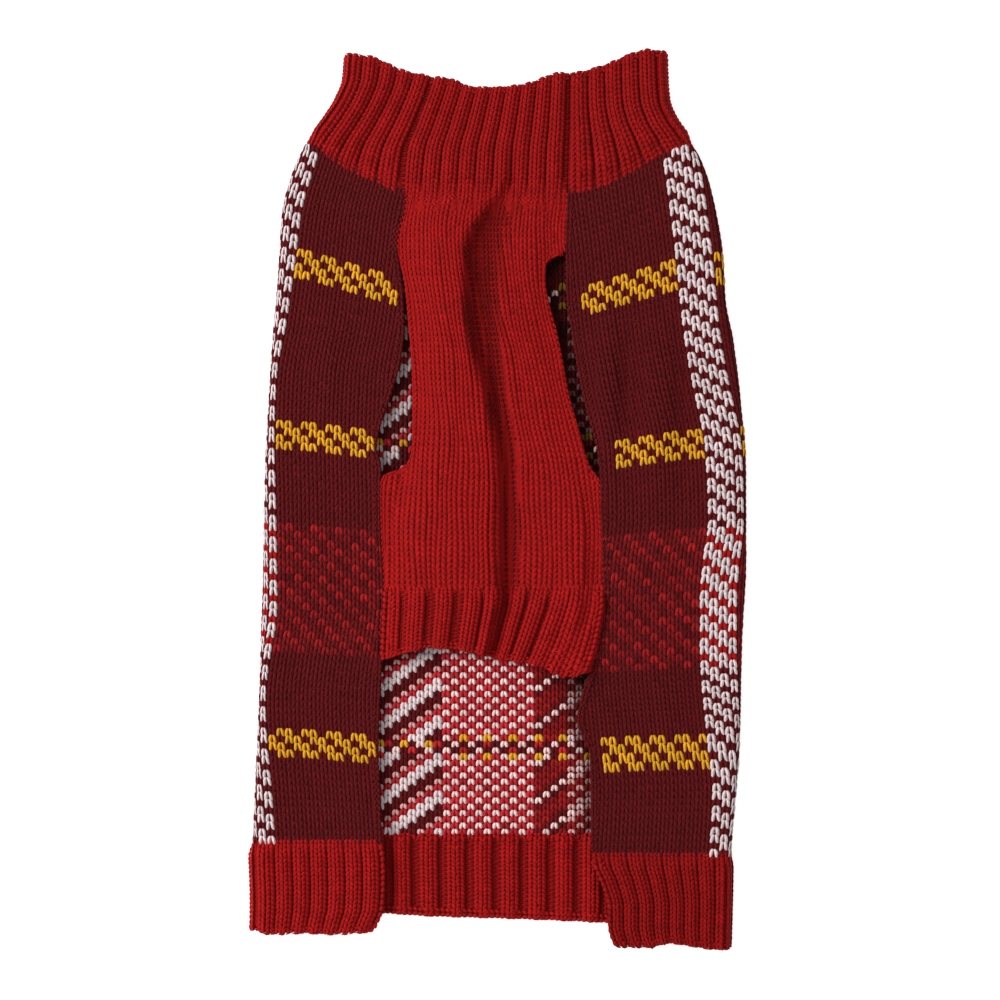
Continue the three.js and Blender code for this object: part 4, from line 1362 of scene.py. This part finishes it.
class Workshop:
    """What the pieces are made with: the form, the finishes, the tree and the stitches."""

    unevenness = 0.05  # how far a stitch may lean, as a share of its size

    def __init__(self) -> None:
        """Make the finishes, the tree and the hidden stitches."""
        self.form = Form()
        self.tree = StitchTree()
        self.shapes = {stitch: stitch.value.build() for stitch in Stitch}
        burgundy, deep_red = linear(88, 14, 19), linear(154, 18, 17)
        cloths = (("plaid_knit", "plaid", burgundy), ("red_knit", "red", deep_red),
                  ("red_rib", "rib", deep_red))
        self.yarn = {slot: yarn_finish(name + "_yarn") for slot, name, _ in cloths}
        self.base = {slot: base_finish(name + "_base", colour) for slot, name, colour in cloths}

    def set_stitches(self, name: str, shape: Stitch, places: Stitches, slot: str,
                     seed: int) -> bpy.types.Object:
        """Set a stitch at each place.

        Args:
            name: Name of the piece.
            shape: Which stitch.
            places: Where the stitches go.
            slot: Material slot of the yarn.
            seed: Seed of their unevenness.

        Returns:
            The piece, a plain mesh.
        """
        bare = bpy.data.meshes.new(name + "_points")
        bare.from_pydata(to_frame(places.middle).tolist(), [], [])
        vectors = {
            "middle": to_frame(places.middle), "across": places.across * MM,
            "along": places.along * MM, "rise": places.rise * MM,
        }
        for label, values in vectors.items():
            store(bare, label, "FLOAT_VECTOR", values)
        store(bare, "tint", "FLOAT_COLOR", places.tint)
        carrier = linked(name + "_carrier", bare)
        modifier = carrier.modifiers.new("stitches", "NODES")
        modifier.node_group = self.tree.tree
        given = {"Stitch": self.shapes[shape], "Yarn": self.yarn[slot],
                 "Unevenness": self.unevenness, "Seed": seed}
        for label, value in given.items():
            modifier[self.tree.inputs[label]] = value
        graph = bpy.context.evaluated_depsgraph_get()
        mesh = bpy.data.meshes.new_from_object(
            carrier.evaluated_get(graph), preserve_all_data_layers=True, depsgraph=graph
        )
        bpy.data.objects.remove(carrier)
        for label in (*vectors, "local", "jitter"):
            if label in mesh.attributes:
                mesh.attributes.remove(mesh.attributes[label])
        mesh.name = name
        return self.piece(name, mesh)

    def piece(self, name: str, mesh: bpy.types.Mesh) -> bpy.types.Object:
        """An object for a mesh, which rides with the garment.

        What lies low is squeezed, so that nothing reaches below the surface under the sweater.

        Args:
            name: Name of the piece.
            mesh: Its mesh.

        Returns:
            The piece.
        """
        coords = np.empty(len(mesh.vertices) * 3)
        mesh.vertices.foreach_get("co", coords)
        height = coords[2::3] / (PRESSED * MM)
        squeezed = np.exp(np.minimum(height, 1.0) - 1.0)
        coords[2::3] = np.where(height < 1.0, squeezed, height) * PRESSED * MM
        mesh.vertices.foreach_set("co", coords)
        mesh.update()
        made = linked(name, mesh)
        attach(made, "root")
        log.info("%s: %d triangles", name, sum(len(p.vertices) - 2 for p in mesh.polygons))
        return made


@dataclass
class Cloth:
    """A thin closed shell on the form of one solid, behind its stitches."""

    node: str
    slot: str
    place: Place  # raised middle at a column and a row's share
    columns: Array
    rows: Array
    facing: int = 1
    rests_on: tuple[str, ...] = ("floor",)

    outer = 0.6  # of the outer face above the middle
    inner = 0.55

    def build(self, shop: Workshop, stitches: list[bpy.types.Object]) -> None:
        """Args:
            shop: What the pieces are made with.
            stitches: The stitches on it; not used.
        """
        middle = self.place(*np.meshgrid(self.columns, self.rows))
        along, across = np.gradient(middle, axis=(0, 1))
        normal = self.facing * unit(np.cross(across, along))
        name = self.node + "_cloth"
        mesh = closed_shell(name, middle + normal * self.outer, middle - normal * self.inner)
        mesh.materials.append(shop.base[self.slot])
        made = shop.piece(name, mesh)
        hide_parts(self.node)


def closed_shell(name: str, outer: Array, inner: Array) -> bpy.types.Mesh:
    """A closed mesh between two facing grids of points, with its faces pointing out.

    Args:
        name: Name of the mesh.
        outer: Points of the outer face, by row and column.
        inner: Points of the inner face.

    Returns:
        The mesh, in the frame's metres.
    """
    high, wide = outer.shape[:2]
    over = np.arange(high * wide).reshape(high, wide)
    under = over + high * wide
    quads = (
        (over[:-1, :-1], over[:-1, 1:], over[1:, 1:], over[1:, :-1]),
        (under[:-1, :-1], under[1:, :-1], under[1:, 1:], under[:-1, 1:]),
        (over[0, 1:], over[0, :-1], under[0, :-1], under[0, 1:]),
        (over[-1, :-1], over[-1, 1:], under[-1, 1:], under[-1, :-1]),
        (over[:-1, 0], over[1:, 0], under[1:, 0], under[:-1, 0]),
        (over[1:, -1], over[:-1, -1], under[:-1, -1], under[1:, -1]),
    )
    faces = np.concatenate([np.stack([c.ravel() for c in quad], axis=1) for quad in quads])
    places = to_frame(np.concatenate([outer.reshape(-1, 3), inner.reshape(-1, 3)]))
    first, second, third, fourth = places[faces].transpose(1, 0, 2)
    if np.sum(first * np.cross(third - first, fourth - second)) < 0:
        faces = faces[:, ::-1]
    mesh = bpy.data.meshes.new(name)
    mesh.from_pydata(places.tolist(), [], faces.tolist())
    mesh.shade_smooth()
    return mesh


@dataclass
class BodyPanel:
    """The plaid back and both flanks."""

    shop: Workshop

    def build(self) -> None:
        """Build the back and the flanks."""
        self.flank(Side.LEFT, 11)
        self.flank(Side.RIGHT, 12)
        self.back()

    def flank(self, side: Side, seed: int) -> None:
        """One flank, from its inner edge round the side fold."""
        form = self.shop.form
        rng = np.random.default_rng(seed)
        knit = FlankKnit(form, side)
        places, bright = knit.build(rng)
        node = f"flank_{side.value}"
        made = [
            self.shop.set_stitches(f"{node}_{name}", shape, each, "plaid_knit", seed=number)
            for name, shape, each, number in (
                ("stitches", Stitch.KNIT, places.kept(~bright), 21),
                ("plaid", Stitch.OPEN, places.kept(bright), 27),
                ("selvedge", Stitch.FLAT, knit.selvedge(rng), 22),
            )
        ]

        def place(turn: Array, share: Array) -> Array:
            low = mix(form.hem_line[side], HEM_LINE_BACK, np.clip(-turn / 2, 0, 1)) - OVERLAP
            at = form.flank_by_turn(side, turn, READ_NECK_LINE)[..., 0]
            return form.flank_by_turn(side, turn, mix(low, form.neck_line(at) + OVERLAP, share))

        turns = np.concatenate([[-2, -1.5], np.linspace(-1, 1, 13), np.linspace(1, 2, 16)[1:]])
        Cloth(
            node, "plaid_knit", place, turns, np.linspace(0, 1, 90), facing=side.inward
        ).build(self.shop, made)

    def back(self) -> None:
        """The back, with the inside of the plaid in the openings and the outside below."""
        form = self.shop.form
        knit = BackKnit(form)
        rng = np.random.default_rng(13)
        inside = self.shop.set_stitches(
            "back_inside_stitches", Stitch.KNIT, knit.inside(rng), "plaid_knit", seed=23
        )
        outside = self.shop.set_stitches(
            "back_outside_stitches", Stitch.FLAT, knit.outside(rng), "plaid_knit", seed=24
        )

        def place(share: Array, row: Array) -> Array:
            top = form.neck_line(form.back(share, READ_NECK_LINE)[..., 0]) + OVERLAP
            return form.back(share, mix(HEM_LINE_BACK - OVERLAP, top, row))

        Cloth(
            "back_panel", "plaid_knit", place, np.linspace(0, 1, 40), np.linspace(0, 1, 60),
            facing=-1,
        ).build(self.shop, [inside, outside])


@dataclass
class BellyPanel:
    """The plain red panel on the belly."""

    shop: Workshop

    def build(self) -> None:
        """Build the panel."""
        form = self.shop.form
        rng = np.random.default_rng(14)
        knit = BellyKnit(form)
        stitches = self.shop.set_stitches(
            "belly_stitches", Stitch.KNIT, knit.build(rng), "red_knit", seed=25
        )
        edges = self.shop.set_stitches(
            "belly_selvedges", Stitch.FLAT, knit.selvedges(rng), "red_knit", seed=26
        )

        def place(share: Array, row: Array) -> Array:
            top = READ_BELLY_NECK_LINE + OVERLAP
            return form.belly(share, mix(HEM_LINE_BELLY - OVERLAP, top, row))

        Cloth(
            "belly_panel", "red_knit", place, np.linspace(0, 1, 44), np.linspace(0, 1, 80),
            rests_on=("back_panel_cloth",),
        ).build(self.shop, [stitches, edges])


@dataclass
class Ribs:
    """The ribbed neck and hems."""

    shop: Workshop
    seed: int = 30

    def build(self) -> None:
        """Build every rib."""
        for side in Side:
            self.side_rib(side, neck=True)
            self.side_rib(side, neck=False)
        self.neck_back()
        self.neck_belly()
        self.hem_back()
        self.belly_hem()

    def dress(self, node: str, knit: RibKnit, columns: int, start: float = 0.0, end: float = 1.0,
              free_sides: tuple[float, ...] = (), rests_on: str = "floor") -> None:
        """Set a rib's stitches and make its cloth.

        Args:
            node: The solid that the rib stands for.
            knit: The rib's knitting.
            columns: Columns of the shell's grid.
            start: Share where the piece begins.
            end: Share where it ends.
            free_sides: Shares at which it has a free side edge.
            rests_on: What it lies on, which the cloth keeps but nothing uses.
        """
        self.seed += 3
        rng = np.random.default_rng(self.seed)
        inset = 0.1 * knit.layout.half
        shape = Stitch.FLAT if node == "neck_back" else Stitch.KNIT
        knits = knit.knits(rng, start + inset, end - inset)
        purls = knit.purls(rng, start, end)
        edges = [knit.cast_off(rng, start, end)]
        edges += [knit.side_edge(rng, share) for share in free_sides]
        made = [
            self.shop.set_stitches(f"{node}_{name}", each, places, "red_rib", self.seed + number)
            for number, (name, each, places) in enumerate((
                ("knits", shape, knits),
                ("purls", Stitch.PURL, purls),
                ("cast_off", Stitch.FLAT, Stitches.joined(edges)),
            ))
        ]

        def place(share: Array, row: Array) -> Array:
            return knit.surface(share, (1 - row) * knit.rows)

        Cloth(
            node, "red_rib", place, np.linspace(start, end, columns), np.linspace(0, 1, 18),
            facing=knit.facing, rests_on=(rests_on,),
        ).build(self.shop, made)

    def side_rib(self, side: Side, neck: bool) -> None:
        """A rib of a flank, at the neck or the hem, which goes round the side fold."""
        form = self.shop.form
        node = ("neck_" if neck else "hem_") + side.value
        at = READ_NECK_EDGE if neck else READ_HEM_EDGE
        run = float(abs(form.flank_by_turn(side, np.array(2.0), at)[0] - form.centre(side, at)))
        start = -(2 * QUARTER + TURN_UNDER) / run

        def place(share: Array, y: Array) -> Array:
            turn = np.where(share > 0, 1 + share, 1 + share * run / QUARTER)
            beyond = np.minimum(share * run + 2 * QUARTER, 0) / TURN_UNDER
            return form.flank_by_turn(side, np.where(turn < -1, beyond - 1, turn), y)

        def under(share: Array) -> Array:
            return np.clip(-(share * run + QUARTER) / (QUARTER + TURN_UNDER), 0, 1)

        def neck_line(share: Array) -> Array:
            return form.neck_line(place(share, READ_NECK_LINE)[..., 0]) + SEAM / 2

        def neck_edge(share: Array) -> Array:
            edge = form.neck_edge(place(share, READ_NECK_EDGE)[..., 0])
            return edge - BACK_NECK_DROP * under(share)

        def hem_line(share: Array) -> Array:
            return mix(form.hem_line[side], HEM_LINE_BACK, under(share)) - SEAM / 2

        def hem_edge(share: Array) -> Array:
            front = form.hem_edge[side](place(np.maximum(share, 0), READ_HEM_EDGE)[..., 0])
            back = form.hem_edge_back(place(share, READ_HEM_EDGE)[..., 0])
            return mix(front, back, under(share))

        low, high = (neck_line, neck_edge) if neck else (hem_edge, hem_line)
        knit = RibKnit(
            RIBS[node], place, low, high, NECK_ROWS if neck else HEM_ROWS, free_below=not neck,
            facing=side.inward, shade=RIB_TONE[node],
        )
        self.dress(node, knit, 84, start, free_sides=() if neck else (0.975,))

    def neck_belly(self) -> None:
        """The neck rib on the belly."""
        form = self.shop.form

        def low(share: Array) -> Array:
            return form.neck_line(form.belly(share, READ_BELLY_NECK_LINE)[..., 0]) + SEAM / 2

        def high(share: Array) -> Array:
            return form.neck_edge(form.belly(share, READ_BELLY_NECK_EDGE)[..., 0])

        # shade 0.88 is painted shade of this rib
        knit = RibKnit(
            RIBS["neck_belly"], form.belly, low, high, NECK_ROWS, free_below=False, shade=0.88,
            run_on=4,
        )
        self.dress("neck_belly", knit, 80, rests_on="neck_back_cloth")

    def neck_back(self) -> None:
        """The neck rib on the back, seen from below."""
        form = self.shop.form

        def low(share: Array) -> Array:
            return form.neck_line(form.back(share, READ_NECK_LINE)[..., 0]) + SEAM / 2

        def high(share: Array) -> Array:
            return form.neck_edge(form.back(share, READ_NECK_EDGE)[..., 0]) - BACK_NECK_DROP

        knit = RibKnit(
            RIBS["neck_back"], form.back, low, high, NECK_ROWS, free_below=False, facing=-1,
            rib_rise=0.6,
        )
        self.dress("neck_back", knit, 60, -CLOSE_SEAM, 1 + CLOSE_SEAM)

    def hem_back(self) -> None:
        """The hem rib on the back, seen from its inside."""
        form = self.shop.form

        def low(share: Array) -> Array:
            return form.hem_edge_back(form.back(share, READ_HEM_EDGE)[..., 0])

        knit = RibKnit(
            RIBS["hem_back"], form.back, low, level(HEM_LINE_BACK - SEAM / 2), HEM_ROWS,
            rib_fade=1.2, scallop=0.1, rib_rise=1.45, purl_columns=2, edge_row=0.7,
            edge_width=3.6, edge_lift=0.5,
        )
        self.dress("hem_back", knit, 140, -CLOSE_SEAM, 1 + CLOSE_SEAM)

    def belly_hem(self) -> None:
        """The hem rib of the belly panel, which leans to the left."""
        form = self.shop.form
        top = HEM_LINE_BELLY - SEAM / 2

        def place(share: Array, y: Array) -> Array:
            down = (top - y) / (top - form.hem_edge_belly(share))
            lean = BELLY_HEM_SLANT * np.sin(math.pi * np.clip(share, 0, 1) ** 3)
            return form.on_front(form.belly(share, y)[..., 0] - lean * down, y)

        knit = RibKnit(
            RIBS["belly_hem"], place, form.hem_edge_belly, level(top), BELLY_HEM_ROWS,
            scallop=0.4, purl_columns=2, edge_row=0.5,
        )
        self.dress(
            "belly_hem", knit, 80, free_sides=(0.02, 0.98), rests_on="back_panel_cloth"
        )


def level(y: float) -> Line:
    """A line across at one y."""
    return lambda share: np.full(np.shape(share), y)


@dataclass
class Studio:
    """The pale floor, the soft light and the camera."""

    view: tuple[float, float] = (0.00089, -0.00018)  # what the camera looks straight down at
    width: float = 0.420  # of the picture at the front's height
    height: float = 0.006
    lens: float = 100.0
    sensor: float = 36.0
    reach: float = 4.0  # of the floor
    drop: float = 0.0002  # of the floor below the garment
    light: tuple[float, float, float] = (-1.5, 0.4, 0.95)
    fill: float = 0.5

    def build(self) -> None:
        """Set up the studio."""
        self.floor()
        self.lights()
        self.camera()

    def floor(self) -> None:
        """A pale floor."""
        mesh = bpy.data.meshes.new("floor")
        corners = [
            (x * self.reach, y * self.reach, -self.drop)
            for x, y in ((-1, -1), (1, -1), (1, 1), (-1, 1))
        ]
        mesh.from_pydata(corners, [], [(0, 1, 2, 3)])
        sheet = ShaderSheet("pale_floor")
        sheet.set("Base Color", (0.86, 0.86, 0.86, 1))
        sheet.set("Emission Color", (1, 1, 1, 1))
        sheet.set("Emission Strength", 0.7)
        mesh.materials.append(sheet.material)
        made = linked("floor", mesh)

    def lights(self) -> None:
        """A large soft light from the upper left, and a soft fill from all round."""
        lamp = bpy.data.lights.new("key", "AREA")
        lamp.size = 0.8
        lamp.energy = 34.0
        made = linked("key", lamp)
        made.location = self.light
        x, y, z = self.light
        made.rotation_euler = (math.atan2(math.hypot(x, y), z), 0, math.atan2(y, x) + math.pi / 2)
        world = bpy.data.worlds.new("studio")
        world.use_nodes = True
        world.node_tree.nodes["Background"].inputs["Color"].default_value = (1, 1, 1, 1)
        world.node_tree.nodes["Background"].inputs["Strength"].default_value = self.fill
        bpy.context.scene.world = world
        bpy.context.scene.view_settings.view_transform = "Standard"

    def camera(self) -> None:
        """A camera straight above, far off, as the photograph has it."""
        data = bpy.data.cameras.new("camera")
        data.lens = self.lens
        data.sensor_width = self.sensor
        made = linked("camera", data)
        made.location = (*self.view, self.height + self.width * self.lens / self.sensor)
        bpy.context.scene.camera = made


def main() -> None:
    """Build the studio and the sweater, and log each piece's triangles."""
    logging.basicConfig(level=logging.INFO, format="%(message)s")
    Studio().build()
    shop = Workshop()
    BodyPanel(shop).build()
    BellyPanel(shop).build()
    Ribs(shop).build()
    for shape in shop.shapes.values():
        bpy.data.objects.remove(shape)


if __name__ == "__main__":
    main()
